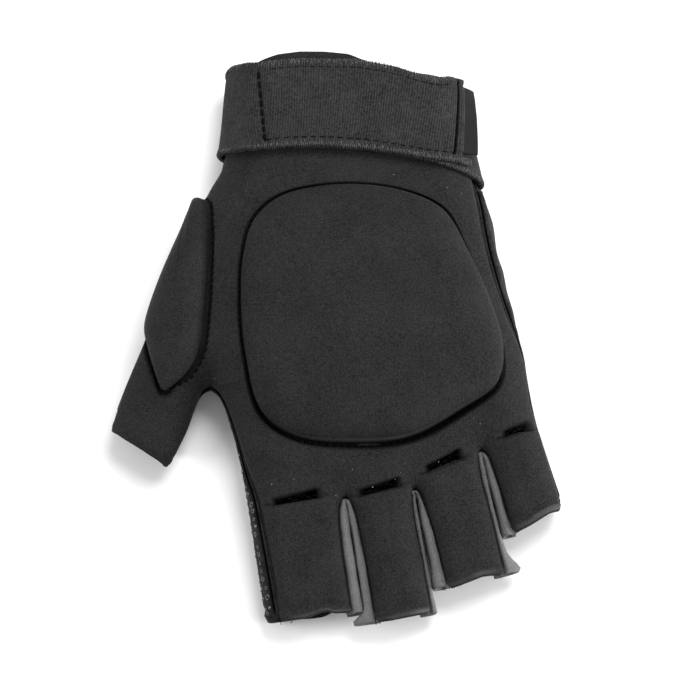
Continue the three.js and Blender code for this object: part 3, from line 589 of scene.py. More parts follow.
# How each open end waves: share across the finger, and how far the back and the palm reach further there.
HEM_WAVES = {
    THUMB: [(0, 0.1, 0), (0.3, 0.4, 0), (0.7, 0.2, 0), (1, -0.4, -1)],
    INDEX: [
        (0, 2.2, 1.6), (0.1, 2.3, 1.0), (0.38, 1.9, 0.1), (0.48, 1.2, 0.1), (0.58, 0, -0.2),
        (0.65, -0.3, -0.9), (0.72, 0.5, -2.6), (1, 0.2, -3.4),
    ],
    MIDDLE: [(0, 0.1, 0.6), (0.35, 0.4, 0), (0.7, 0, 0), (1, -0.6, 0)],
    RING: [(0, 0.9, 0), (0.3, 0.5, 0), (0.62, -0.8, 0), (0.8, -0.5, 0), (1, 0.3, 0)],
    LITTLE: [(0, 0.1, 0), (0.4, 0.5, 0), (0.75, -0.3, 0), (1, 0.2, 0.6)],
}
HEM_WAVE_RUN = 9


def hem_wave(points, group, to_end, column):
    """A cross-row moved along its finger by the wave of its open end."""
    start, end = span_ends(group, THUMB_END_ROW if group == THUMB else END_ROW)
    along_end = end - start
    down = unit([along_end[1], -along_end[0]])
    share = clamp((points[:, :2] - start) @ along_end / (along_end @ along_end))
    table = np.array(HEM_WAVES[group])
    wave = np.interp(share, table[:, 0], table[:, column]) * float(1 - smooth(to_end / HEM_WAVE_RUN))
    moved = points.copy()
    moved[:, :2] += wave[:, None] * down
    return moved


END_PULL = 1.2
EDGE_PULL = 0.75

# How much sooner the palm's layer ends than the back's, so that only the index shows its lower rim.
PALM_SHORTER = {THUMB: 2.8, INDEX: 0, MIDDLE: 4.0, RING: 3.4, LITTLE: 2.6}

# The two panels: their cross-rows, points across, vertices that climb a side at the web, column of the hem's
# wave, how far each end is pulled back for its rim and cut at its corners, and how much sooner it ends. Their
# bands of rows are for the upper part, the thumb, the hand and the fingers. An open one ends at the free end.
PANELS = {
    "back": {
        "row": back_row, "flat": BACK_FLAT, "climb": 0, "wave": 1, "pulls": END_PULLS,
        "corners": {THUMB: 0.6, INDEX: 1, MIDDLE: 1, RING: 1, LITTLE: 1},
        "shorter": dict.fromkeys(END_PULLS, 0),
        "upper": [(1, 18), (2, 13), (4.93, 54)], "thumb": [(5.03, 0), (5.8, 18), (None, 14)],
        "hand": [(5.04, 0), (6.4, 26), (6.97, 24)],
        "finger": [(7.012, 0), (7.2, 15), (7.84, 19), (None, 14)],
    },
    "palm": {
        "row": palm_row, "flat": PALM_FLAT, "climb": PALM_CLIMB, "wave": 2,
        "pulls": {group: END_PULL + PALM_SHORTER[group] for group in PALM_SHORTER},
        "corners": dict.fromkeys(END_PULLS, 0), "shorter": PALM_SHORTER,
        "upper": [(1, 14), (4.93, 44)], "thumb": [(5.03, 0), (None, 22)],
        "hand": [(5.04, 0), (6.97, 34)], "finger": [(7.012, 0), (None, 30)],
    },
}


def panel_sheet(name, pull=EDGE_PULL, end_share=1.0):
    """A panel's outer layer, without relief; end_share is 0 for the full length and 1 for the rim's."""
    panel = PANELS[name]
    climb = panel["climb"]
    sheet = Sheet()

    def add(run, row, kind, to_end=FAR, head=()):
        return sheet.add(panel["row"](run, row, panel["flat"][kind], pull), to_end, head)

    def sleeve(first, group, kind, end_row, length):
        """The rows of a thumb or finger from its first one to its open end."""
        rows = [first]
        for row in rows_between(panel[kind], end_row - panel["pulls"][group] * end_share / length):
            to_end = (end_row - row) * length - panel["shorter"][group]
            back = pull + end_share * corner_cut(to_end) * panel["corners"][group]
            points = panel["row"]((group, group), row, panel["flat"][kind], back)
            rows.append(sheet.add(hem_wave(points, group, to_end, panel["wave"]), to_end))
        sheet.weave_rows(rows)

    upper = rows_between([(END_PULL * end_share / CUFF_LENGTH, 0), *panel["upper"]])
    rows = [add(HAND_AND_THUMB, row, "upper", row * CUFF_LENGTH) for row in upper]
    thumb = add((THUMB, THUMB), WEB_ROW, "thumb")
    hand = [add(HAND, WEB_ROW, "hand", head=thumb[-(climb + 1) :][::-1])]
    rows.append([*thumb[: len(thumb) - climb], *hand[0][climb + 1 :]])
    sheet.weave_rows(rows)
    sleeve(thumb, THUMB, "thumb", THUMB_END_ROW, THUMB_SLEEVE_LENGTH)
    hand += [add(HAND, row, "hand") for row in rows_between(panel["hand"])]
    crotch = []
    for group in FINGERS:
        crotch.append(add((group, group), CROTCH_ROW, "finger", head=crotch[-1][-1:] if crotch else ()))
    hand.append([*crotch[0], *(i for row in crotch[1:] for i in row[1:])])
    sheet.weave_rows(hand)
    for group, first in zip(FINGERS, crotch):
        sleeve(first, group, "finger", END_ROW, finger_length(group))
    return np.array(sheet.points), sheet.faces, np.array(sheet.to_end)


# Stitched flex darts across the finger roots: from and to in the plan.
DARTS = [
    ((-21.2, -58.4), (-6.6, -56.0), 2.7),
    ((7.2, -55.5), (20.2, -52.4), 2.8),
    ((29.7, -47.8), (41.0, -43.2), 3.3),
    ((55.2, -36.1), (64.6, -32.9), 2.8),
]
DART_SLOPE = 1.3
DART_WALL = 0.7
DART_LIP = 0.6
DART_LIP_RUN = 9.0
DART_OVERHANG = 0.35

# The foam pads: a centre, the outline round it, and how the sewn channel changes with the direction from the
# centre: degrees, width, depth, reach of the sewn flange and the painted shade on the channel's floor. The
# stitches have a place in the channel's width, and their pitch and thickness as shares of the usual ones. A
# trench, also by degrees, is how far the back is sunk beside a pad's edge that has no flange.
HAND_PAD = {
    "center": (12, 6),
    "sectors": 300,
    "edge": 0.45,
    "rounding": 12.0,
    "fine": 12.5,
    "rise": (5.9, 0.026, -0.02),
    "outline": [
        (-32.3, 25), (-29, 38), (-20, 46.6), (0, 50.9), (22, 48.6), (36, 41.6), (43.5, 27.5), (50.5, 10),
        (54.8, -7), (53.2, -18.4), (41.2, -27.4), (24, -36.6), (4, -38.6), (-15, -36.1), (-26, -27.6),
        (-31.2, -8), (-32.8, 10),
    ],
    "channel": [
        (-180, 1.1, 1.9, 5, 0.4), (-145, 1.3, 2, 5.2, 0.5), (-120, 2, 2.3, 5.6, 0.85),
        (-95, 2.5, 2.3, 5.6, 0.85), (-50, 2.2, 2.1, 5.6, 0.8), (-28, 1.5, 1.1, 5.4, 0.6),
        (-15, 0.9, 0.25, 5, 0), (20, 0.8, 0.1, 5, 0),
        (38, 0.8, 0.3, 5, 0.2), (60, 1.0, 1.6, 5, 0.8), (120, 1.0, 1.8, 5, 0.8), (150, 1.1, 1.9, 5, 0.5),
        (180, 1.1, 1.9, 5, 0.4),
    ],
    "trench": [(0, 0)],
    "stitch": (0.45, 1.0, 1.6),
}
THUMB_PAD = {
    "center": (-53, 8),
    "sectors": 190,
    "edge": 0.5,
    "rounding": 7.0,
    "fine": 6.4,
    "rise": (4.9, 0, 0),
    "outline": [
        (-43.9, 36), (-43.9, 19), (-44.6, 4), (-46.2, -8), (-49.8, -14.2), (-54.6, -18.4), (-58.2, -20.2),
        (-60.6, -14.6), (-62.9, -6.5), (-64.4, 1.6), (-63.2, 8.8), (-59.3, 20), (-53.6, 34.5), (-50.6, 43),
        (-48.4, 48.4), (-46, 48.8), (-44.4, 45),
    ],
    "channel": [
        (-180, 0.1, 0.2, 0.1, 0.4), (-155, 0.1, 0.3, 0.1, 0.4), (-140, 0.1, 1.8, 0.1, 0.4),
        (-99, 0.1, 1.9, 0.1, 0.4), (-92, 1.1, 1.6, 1.8, 0.4), (-83, 1.9, 1.5, 3.4, 0.4),
        (-60, 2.3, 1.5, 4.6, 0.4), (-40, 2.3, 1.6, 5, 0.4), (66, 2.2, 1.9, 4.6, 0.4),
        (76, 1.6, 1.6, 2.6, 0.4), (82, 0.4, 0.1, 0.1, 0), (180, 0.1, 0.1, 0.1, 0),
    ],
    "trench": [
        (-180, 0), (-152, 0), (-142, 1.2), (-130, 1.5), (-120, 1.4), (-110, 1.2), (-104, 1.1), (-96, 1.1),
        (-91, 0.6), (-86, 0), (180, 0),
    ],
    "stitch": (0.85, 1.0, 2.0),
}
PADS = {"hand": HAND_PAD, "thumb": THUMB_PAD}
SEAT_DEPTH = 2.9
SEAT_RUN = 1.3
SEAT_SHARE = 0.62
TRENCH_DEPTH = 2.2
TRENCH_RUN = 0.9
# How much wider than the trench its painted shadow reaches.
TRENCH_SHADOW = 1.9


# A centripetal spline's point is worked out in three levels, each from pairs of knots.
SPLINE_LEVELS = (((0, 1), (1, 2), (2, 3)), ((0, 2), (1, 3)), ((1, 2),))


def spaced(line, count, closed=False):
    """A line's points at equal steps along it."""
    line = np.vstack([line, line[:1]]) if closed else np.asarray(line, float)
    length = lengths_along(line)
    steps = np.linspace(0, length[-1], count, endpoint=not closed)
    return np.column_stack([np.interp(steps, length, line[:, k]) for k in range(line.shape[1])])


def lengths_along(line):
    return np.concatenate([[0], np.cumsum(norm(np.diff(line, axis=0), axis=1))])


def closed_curve(points, count):
    """A centripetal spline through closed points, at equal steps along it."""
    points = np.array(points, float)
    found = []
    for i in range(len(points)):
        near = [points[(i + k) % len(points)] for k in (-1, 0, 1, 2)]
        knots = [0.0]
        for a, b in zip(near, near[1:]):
            knots.append(knots[-1] + math.sqrt(norm(b - a)))
        for t in np.linspace(knots[1], knots[2], 24, endpoint=False):
            level = near
            for pairs in SPLINE_LEVELS:
                spans = [(knots[j], knots[k]) for j, k in pairs]
                level = [
                    (a * (high - t) + b * (t - low)) / (high - low)
                    for a, b, (low, high) in zip(level, level[1:], spans)
                ]
            found.append(level[0])
    return spaced(np.array(found), count, closed=True)


class PadOutline:
    """A pad's outline in the plan, with its outward directions and its channel's width and depth."""

    def __init__(self, pad):
        self.center = np.array(pad["center"], float)
        self.corners = closed_curve(pad["outline"], pad["sectors"])
        step = np.roll(self.corners, -1, axis=0) - np.roll(self.corners, 1, axis=0)
        normal = unit(np.column_stack([step[:, 1], -step[:, 0]]))
        rays = self.corners - self.center
        facing = np.sign(np.sum(normal * rays, axis=1, keepdims=True))
        self.out = normal * facing
        self.rays = rays
        self.reach = np.sum(rays * self.out, axis=1)
        table = np.array(pad["channel"], float)
        angles = np.degrees(np.arctan2(rays[:, 1], rays[:, 0]))
        columns = [np.interp(angles, table[:, 0], table[:, k]) for k in (1, 2, 3, 4)]
        self.width, self.depth, self.flange, self.shade = columns
        self.trench = np.interp(angles, *np.array(pad["trench"], float).T)
        flat = [(x, y, 0) for x, y in self.corners]
        self.tree = tree_of(flat)

    def outside(self, points):
        """How far each point lies outside the outline, negative inside it, and the nearest corner."""
        plan = np.asarray(points, float)[:, :2]
        nearest = np.array([self.tree.find((x, y, 0))[1] for x, y in plan])
        away = np.sum((plan - self.corners[nearest]) * self.out[nearest], axis=1)
        return away, nearest


@lru_cache(maxsize=None)
def pad_outline(name):
    return PadOutline(PADS[name])


def wrinkle(points, scale, seed):
    """Soft unevenness from -1 to 1 whose waves are about scale millimetres long."""
    shift = Vector((seed * 17.3, seed * 5.1, seed * 9.7))
    return np.array([noise.noise(Vector(point) / scale + shift) for point in points])


def slack(points):
    """How far the back sinks between what it is sewn to: soft waves, and a hollow along each sewn channel."""
    depth = 0.30 * wrinkle(points, 26, 1) + 0.10 * wrinkle(points, 9, 2)
    for name in PADS:
        away, nearest = pad_outline(name).outside(points)
        share = np.minimum(1, pad_outline(name).flange[nearest] / 4)
        depth += 0.32 * share * groove(away - 1.2, 3.0)
    return depth


def groove(distance, half_width):
    """A rounded groove's depth share at a distance from its line."""
    return np.exp(-((distance / half_width) ** 2))


def dart_frame(points, start, end):
    """Places along a dart and across it, towards the fingertip, with its directions."""
    start, end = np.array(start, float), np.array(end, float)
    length = norm(end - start)
    tangent = (end - start) / length
    beyond = np.array([tangent[1], -tangent[0]])
    return (points[:, :2] - start) @ tangent, (points[:, :2] - start) @ beyond, length, beyond


def dart_overhang(points):
    """How each dart's finger side is drawn over its recess."""
    shift = np.zeros_like(points)
    for start, end, _ in DARTS:
        place, side, length, beyond = dart_frame(points, start, end)
        taper = smooth((place + 2.0) / 4) * smooth((length + 2.5 - place) / 4)
        reach = smooth((side - 0.2) / 0.7) * (1 - smooth((side - 0.9) / 4.0))
        shift[:, :2] -= (DART_OVERHANG * taper * reach)[:, None] * beyond
    return shift


def dart_relief(points):
    """How deep the darts are at points, from 0 to 1, and how high the fingers' sides stand beside them."""
    recess, raised = np.zeros(len(points)), np.zeros(len(points))
    for start, end, full_width in DARTS:
        place, side, length, _ = dart_frame(points, start, end)
        taper = smooth((place + 1.8) / 3.4) * smooth((length + 1.2 - place) / 1.8)
        width = full_width * (0.65 + 0.35 * clamp(place / length))
        slope = smooth((side + width + DART_SLOPE / 2) / DART_SLOPE)
        wall = 1 - smooth((side - 0.25) / DART_WALL)
        lip_taper = smooth((place + 5) / 7) * smooth((length + 6 - place) / 7)
        lip = smooth((side - 0.5) / DART_WALL) * (1 - smooth((side - 1.4) / DART_LIP_RUN))
        fold = smooth((place + 5) / 4) * smooth((length + 4.5 - place) / 4) * groove(side + 0.15, 0.4)
        recess = np.maximum(recess, np.maximum(taper * slope * wall, 0.35 * fold))
        raised += lip_taper * lip
    return recess, raised


def trench_relief(points, spread=1.0):
    """How deep in the trench beside a pad's edge points lie, from 0 to 1; a wider spread gives its painted
    shadow.
    """
    relief = np.zeros(len(points))
    for name in PADS:
        outline = pad_outline(name)
        away, nearest = outline.outside(points)
        relief = np.maximum(relief, smooth((outline.trench[nearest] * spread - away) / TRENCH_RUN))
    return relief


def back_depth(points, edge, to_end, sizes):
    """How far the back panel's outer face is sunk or, where negative, raised."""
    depth = slack(points)
    recess, raised = dart_relief(points)
    depth += sizes.dart_depth / MM * recess - DART_LIP * raised
    depth += TRENCH_DEPTH * trench_relief(points)
    for name in PADS:
        outline = pad_outline(name)
        away, nearest = outline.outside(points)
        depth += SEAT_DEPTH * smooth((outline.flange[nearest] * SEAT_SHARE - away) / SEAT_RUN)
    depth += sizes.edge_roll / MM * clamp(1 - edge / 3.4) ** 2
    hemmed = 1 - 0.8 * smooth((-50 - points[:, 0]) / 4)
    depth += sizes.hem_crease / MM * groove(to_end - 3.4, 0.9) * hemmed
    depth -= 0.4 * groove(to_end - 1.5, 1.2) * hemmed
    ulnar_rim = smooth((points[:, 0] - 55) / 6) * smooth((-20 - points[:, 1]) / 10)
    depth -= 0.45 * ulnar_rim * groove(edge - 1.3, 0.9)
    return np.minimum(depth, sizes.neoprene / MM - 0.05)


# How the cuff's edge over the back of the wrist stands past its even line: x, out and up.
CUFF_LINE = [
    (-38, -2.5, 0), (-31, -1.2, 0), (-27, 0.5, 0.5), (-21, 1.5, 1.2), (-14, 1.8, 1.4), (-5, 1.8, 1.5),
    (3, 1.2, 1.3), (10, -0.3, 0.7),
    (16, -2, 0.2), (24, -3.2, 0), (40, -3, 0),
]
CUFF_LINE_RUN = 8


def cuff_lip(points):
    """How the cuff stands up and out past the strap in its middle, and draws back under it beside."""
    table = np.array(CUFF_LINE)
    near = (1 - smooth((98.5 - points[:, 1]) / CUFF_LINE_RUN)) * smooth((points[:, 2] - 12) / 4)
    out, up = (np.interp(points[:, 0], table[:, 0], table[:, k]) * near for k in (1, 2))
    return np.column_stack([0 * near, out, up])


def palm_depth(points, edge, to_end, sizes):
    """The palm's relief: its edge is turned in and stands a little proud beside the seam."""
    depth = 0.5 + 0.12 * wrinkle(points, 15, 3)
    depth += 0.5 * clamp(1 - edge / 1.6) ** 2
    depth -= 0.45 * groove(edge - 2.0, 0.8)
    depth += 0.35 * groove(edge - 3.6, 0.6)
    depth += sizes.hem_crease / MM * groove(to_end - 3.0, 0.7)
    ulnar_side = smooth((points[:, 0] - 38) / 6) * smooth((points[:, 1] + 12) / 15)
    depth += 0.8 * ulnar_side * smooth(edge / 2) * wrinkle(points * np.array([1.0, 0.45, 1.0]), 4.5, 6)
    return depth


def node(tree, kind, links=(), **settings):
    """Adds one shader node; links are (socket, value or other node's output), and settings its properties."""
    made = tree.nodes.new(kind)
    for name, value in settings.items():
        setattr(made, name, value)
    for socket, value in links:
        if isinstance(value, bpy.types.NodeSocket):
            tree.links.new(value, made.inputs[socket])
        else:
            made.inputs[socket].default_value = value
    return made


def srgb(text):
    """An sRGB hex colour as linear red, green and blue."""
    values = [int(text[k : k + 2], 16) / 255 for k in (1, 3, 5)]
    return tuple(v / 12.92 if v <= 0.04045 else ((v + 0.055) / 1.055) ** 2.4 for v in values)


def rgba(color, gain=1.0):
    return (*(min(1.0, c * gain) for c in color), 1.0)


# Blender's wave bands repeat every 2 pi / 20 of their scaled coordinate.
WAVE_PERIOD = 2 * math.pi / 20

# Ribs run over the piece's own place or along its sheet of cloth. A noise is taken as far to each side of its
# middle as given here, and that range is drawn out to the whole one from 0 to 1.
RIBS = {"wales": (False, "X"), "cloth_wales": (True, "X"), "courses": (True, "Y")}
NOISES = {"blotch": 0.2, "fuzz": 0.22, "haze": 0.5}
# The painted shade's colour, as a share of the thread's colour.
PAINTED_SHADE_GAIN = 0.3


def pattern(tree, kind, size, detail):
    """A pattern from 0 to 1: ribs a size apart and wavy by detail, or blotches about as large, in metres."""
    place = node(tree, "ShaderNodeTexCoord").outputs["Object"]
    if kind in NOISES:
        links = [("Vector", place), ("Scale", 1 / size), ("Detail", detail)]
        links = [("Value", node(tree, "ShaderNodeTexNoise", links).outputs["Fac"])]
        links += [("From Min", 0.5 - NOISES[kind]), ("From Max", 0.5 + NOISES[kind])]
        return node(tree, "ShaderNodeMapRange", links).outputs["Result"]
    on_cloth, direction = RIBS[kind]
    if on_cloth:
        place = node(tree, "ShaderNodeAttribute", attribute_name="cloth").outputs["Vector"]
    links = [("Vector", place), ("Scale", WAVE_PERIOD / size), ("Distortion", detail), ("Detail", 1.0)]
    return node(tree, "ShaderNodeTexWave", links, bands_direction=direction).outputs["Fac"]


def finish(name, color, layers=(), contrast=(1, 1), relief=0.0, shading_colors=None, **sockets):
    """A material whose pattern is layers: kind, size, detail, share in the colour and share in the relief.

    Contrast is how dark and how bright the colour gets, and relief how deep it is, in metres. Given the
    glove's colours, a point attribute paints shade where it is positive, towards the dark thread colour and
    without specular reflection, and paints a pale highlight where it is negative.
    A pair of roughnesses follows the first layer. All the pieces of one material share it.
    """
    if name in bpy.data.materials:
        return bpy.data.materials[name]
    material = bpy.data.materials.new(name)
    material.use_nodes = True
    tree = material.node_tree
    tree.nodes.clear()
    values = {"IOR": 1.5, "Base Color": rgba(color)}
    values.update((key.replace("_", " "), value) for key, value in sockets.items())
    sums, made = [0.0, 0.0], []
    for kind, size, detail, *shares in layers:
        made.append(pattern(tree, kind, size, detail))
        for k, share in enumerate(shares):
            if share:
                links = [(0, made[-1]), (1, share), (2, sums[k])]
                sums[k] = node(tree, "ShaderNodeMath", links, operation="MULTIPLY_ADD").outputs[0]
    mixes = [(sums[0], rgba(color, contrast[0]), rgba(color, contrast[1]))] if layers else []
    # Painted shade where the attribute is positive, dark and without specular; painted highlight where
    # negative.
    if shading_colors:
        painted_shading = node(tree, "ShaderNodeAttribute", attribute_name="painted_shading").outputs["Fac"]
        painted_highlight, values["Specular IOR Level"] = (
            node(tree, "ShaderNodeMapRange", [(0, painted_shading), *enumerate(limits, 1)]).outputs["Result"]
            for limits in ((-1.0, 0.0, 1.0, 0.0), (0.0, 1.0, values["Specular IOR Level"], 0.0))
        )
        mixes += [(painted_shading, None, rgba(shading_colors.thread, PAINTED_SHADE_GAIN)), (painted_highlight, None, rgba(shading_colors.painted_highlight))]
    for share, start, end in mixes:
        links = [(0, share), (6, start or values["Base Color"]), (7, end)]
        values["Base Color"] = node(tree, "ShaderNodeMix", links, data_type="RGBA").outputs[2]
    if isinstance(values["Roughness"], tuple):
        links = [("Value", made[0]), *zip(("To Min", "To Max"), values["Roughness"])]
        values["Roughness"] = node(tree, "ShaderNodeMapRange", links).outputs["Result"]
    if relief:
        links = [("Height", sums[1]), ("Distance", relief), ("Strength", 1.0)]
        values["Normal"] = node(tree, "ShaderNodeBump", links).outputs["Normal"]
    shader = node(tree, "ShaderNodeBsdfPrincipled", values.items())
    node(tree, "ShaderNodeOutputMaterial", [("Surface", shader.outputs["BSDF"])])
    return material


def knit_faced_neoprene(scene):
    """Foamed neoprene laminated with nylon jersey: matt, with fine wales, a soft sheen and some lint."""
    layers = [
        ("blotch", 0.012, 3.0, 0.2, 0), ("blotch", 0.0022, 3.0, 0.1, 0),
        ("wales", scene.glove_sizes.wale_spacing, 1.5, 0.1, 0.2), ("fuzz", 0.0006, 2.0, 0.6, 0.8),
    ]
    colors = scene.glove_colors
    return finish(
        "Knit_faced_neoprene", colors.neoprene, layers, (0.2, 1.9), 0.00012, colors,
        Roughness=(0.7, 0.86), Sheen_Weight=0.07, Sheen_Roughness=0.3, Specular_IOR_Level=0.06,
    )


def printed_microsuede(scene):
    """Non-woven polyurethane suede, napped: darker and flatter than the knit, with a coarse random grain."""
    layers = [("blotch", 0.0011, 3.0, 0.6, 1.0), ("blotch", 0.006, 2.0, 0.4, 0)]
    colors = scene.glove_colors
    return finish(
        "Napped_microsuede", colors.suede, layers, (0.3, 1.8), 0.0002, colors,
        Roughness=0.85, Sheen_Weight=0.06, Sheen_Roughness=0.3, Specular_IOR_Level=0.1,
    )


def silicone_print(scene):
    """Screen-printed silicone, cured glossy and almost clear over the dark suede: small bright glints."""
    return finish(
        "Screen_printed_silicone", scene.glove_colors.silicone,
        Roughness=0.12, IOR=1.41, Coat_Weight=0.6, Coat_Roughness=0.05, Specular_IOR_Level=0.8,
    )


def stretch_jersey(scene):
    """Grey nylon and elastane jersey, brushed on the face: matt, with fine wales along the strip."""
    layers = [("blotch", 0.0008, 2.0, 0.5, 0), ("cloth_wales", 0.00055, 0.4, 0.3, 0.6)]
    layers.append(("courses", 0.0007, 0.8, 0.2, 0.4))
    return finish(
        "Stretch_jersey", scene.glove_colors.lycra, layers, (0.7, 1.3), 0.00008,
        Roughness=0.9, Sheen_Weight=0.03, Sheen_Roughness=0.4, Specular_IOR_Level=0.08,
    )


def knitted_elastic(scene):
    """Warp-knitted elastic webbing: fine ribs across its width, lighter on their crests, matt."""
    layers = [
        ("cloth_wales", scene.glove_sizes.rib_spacing, 1.6, 0.34, 0.5), ("blotch", 0.0009, 2.0, 0.48, 0.5),
        ("blotch", 0.007, 2.0, 0.18, 0),
    ]
    colors = scene.glove_colors
    return finish(
        "Warp_knitted_elastic", colors.elastic, layers, (0.2, 1.9), 0.0002, colors,
        Roughness=0.92, Sheen_Weight=0.05, Sheen_Roughness=0.3, Specular_IOR_Level=0.06,
    )


def woven_satin(scene):
    """Polyester label satin, woven and heat-cut: black, with a faint sheen and a very fine rib."""
    layers = [("courses", 0.0005, 0.1, 0.5, 1.0), ("haze", 0.0006, 1.0, 0.5, 0)]
    return finish(
        "Woven_label_satin", scene.glove_colors.label, layers, (0.75, 1.3), 0.00006,
        Roughness=0.55, Sheen_Weight=0.02, Sheen_Roughness=0.35, Specular_IOR_Level=0.15,
    )


def spun_thread(name, color):
    """Bonded or textured thread, twisted and dyed: slightly brighter than what it is sewn into."""
    layers = [("blotch", 0.0007, 1.0, 1.0, 0)]
    return finish(name, color, layers, (0.35, 1.7), Roughness=0.8, Sheen_Weight=0.02, Specular_IOR_Level=0.04)


def dark_thread(scene):
    return spun_thread("Bonded_polyester_thread", scene.glove_colors.thread)


def paper_sweep(scene):
    """Matt white background paper, uncoated, so it shows only soft shadows."""
    layers = [("haze", 0.004, 2.0, 1.0, 0)]
    return finish(
        "Uncoated_background_paper", scene.glove_colors.floor, layers, (0.985, 1.0),
        Roughness=0.95, IOR=1.45, Specular_IOR_Level=0.2,
    )


def add_object(name, data):
    made = bpy.data.objects.new(name, data)
    bpy.context.scene.collection.objects.link(made)
    return made


def add_piece(name, points, faces, material, stands_for=(), cloth=None, painted_shading=()):
    """A mesh in the frame from plan millimetres, riding on the glove's one body.

    cloth gives the places along and across a sheet's fabric, for its two faces. The last argument is painted
    shading for the first points: painted shade up to 1, and painted highlight where it is negative.
    """
    mesh = bpy.data.meshes.new(name)
    mesh.from_pydata(((np.asarray(points) + ORIGIN) * MM).tolist(), [], [list(map(int, f)) for f in faces])
    mesh.shade_smooth()
    if cloth is not None:
        places = np.zeros((len(points), 3), np.float32)
        places[: 2 * len(cloth), :2] = np.tile(np.asarray(cloth) * MM, (2, 1))
        mesh.attributes.new("cloth", "FLOAT_VECTOR", "POINT").data.foreach_set("vector", places.ravel())
    # Painted shading stored on the points, read by the material.
    if len(painted_shading):
        depths = np.zeros(len(points), np.float32)
        depths[: len(painted_shading)] = painted_shading
        mesh.attributes.new("painted_shading", "FLOAT", "POINT").data.foreach_set("value", depths)
    mesh.materials.append(material)
    piece = add_object(name, mesh)
    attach(piece, "root")
    if stands_for:
        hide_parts(*stands_for)
    return piece


@lru_cache(maxsize=None)
def back_surface():
    return panel_sheet("back")


@lru_cache(maxsize=None)
def palm_surface():
    """The palm's layer, with its faces turned outwards."""
    points, faces, to_end = panel_sheet("palm")
    return points, [tuple(reversed(face)) for face in faces], to_end


@lru_cache(maxsize=None)
def top_skin():
    points, faces, _ = panel_sheet("back", 0.0, 0.0)
    return Skin(points, faces, True)


@lru_cache(maxsize=None)
def bottom_skin():
    points, faces, _ = palm_surface()
    return Skin(points, faces, False)


def from_rim(points, faces):
    """How far each point lies from its sheet's edge, measured to that edge's points and their midpoints."""
    edges = np.array(rim_edges(faces))
    tree = tree_of(np.vstack([points[edges[:, 0]], (points[edges[:, 0]] + points[edges[:, 1]]) / 2]))
    return np.array([tree.find(point)[2] for point in points])


def painted_hem_highlights(points, edge, to_end):
    """Painted highlight on the hems of the fingers and on the little finger's outer edge, from 0 to 1."""
    patchy = 0.4 * clamp(1 + 1.6 * wrinkle(points, 8, 9), 0, 2)
    hems = patchy * groove(to_end - 0.9, 0.7) * (points[:, 1] < 0) * smooth((points[:, 0] + 50) / 8)
    outer = 0.4 * groove(edge - 1.2, 0.6) * smooth((points[:, 0] - 62) / 4) * smooth((-27 - points[:, 1]) / 6)
    return np.maximum(hems, outer)


def make_back(context):
    sizes = context.scene.glove_sizes
    points, faces, to_end = back_surface()
    edge = from_rim(points, faces)
    depth = back_depth(points, edge, to_end, sizes)
    # Painted shade in the darts, a painted shadow beside the thumb pad's trench and painted shade along the
    # cut edge, less the painted highlights.
    painted_shading = np.maximum(dart_relief(points)[0], 0.8 * trench_relief(points, TRENCH_SHADOW))
    painted_shading = np.maximum(painted_shading, 0.8 * clamp(1 - edge / 0.7) * smooth(to_end / 4 - 1))
    painted_shading -= painted_hem_highlights(points, edge, to_end)
    points = points + dart_overhang(points) + cuff_lip(points)
    closed, all_faces = close_sheet(points, faces, depth, sizes.neoprene / MM, EDGE_PULL)
    cover = knit_faced_neoprene(context.scene)
    add_piece("back_fabric", closed, all_faces, cover, ["back_panel"], painted_shading=painted_shading)


def make_palm(context):
    sizes = context.scene.glove_sizes
    points, faces, to_end = palm_surface()
    edge = from_rim(points, faces)
    depth = palm_depth(points, edge, to_end, sizes)
    closed, all_faces = close_sheet(points, faces, depth, sizes.suede / MM + 0.5, EDGE_PULL)
    suede = printed_microsuede(context.scene)
    # Painted shade along the palm's edge at the seam, short of the open ends.
    painted_shading = smooth((1.05 - edge) / 0.6) * smooth(to_end / 3)
    add_piece("palm_fabric", closed, all_faces, suede, ["palm_panel"], painted_shading=painted_shading)


# The strips between the fingers, and how far each side flares at its end, over a run, past its slit's middle.
STRIPS = [
    ("fourchette_index_middle", INDEX, MIDDLE, ((0.2, 11), (5.6, 6))),
    ("fourchette_middle_ring", MIDDLE, RING, ((0.4, 8), (1.2, 9))),
    ("fourchette_ring_little", RING, LITTLE, ((4.6, 11), (0.5, 8))),
]
STRIP_TUCK = 2.6
STRIP_SHOWS = 1.15
STRIP_ROOF_DROP = 3.5
STRIP_FLOOR_RISE = 2.6
STRIP_ACROSS = 26
STRIP_STEP = 1.3
STRIP_PUFF = 2.4
STRIP_SWELL = 0.3
STRIP_END_INSET = 0.6
STRIP_APEX_TURNS = (157, 135, 112, 90, 68, 45, 23)
STRIP_APEX_PAST = 1.1


def smooth_path(points, count):
    """A smooth line through open points, at equal steps along it."""
    points = np.array(points, float)
    padded = np.vstack([2 * points[0] - points[1], points, 2 * points[-1] - points[-2]])
    found = []
    for i in range(len(points) - 1):
        a, b, c, d = padded[i : i + 4]
        for t in np.linspace(0, 1, 12, endpoint=False):
            square, cube = 2 * a - 5 * b + 4 * c - d, 3 * b - a - 3 * c + d
            found.append(0.5 * (2 * b + (c - a) * t + square * t**2 + cube * t**3))
    return spaced([*found, points[-1]], count)


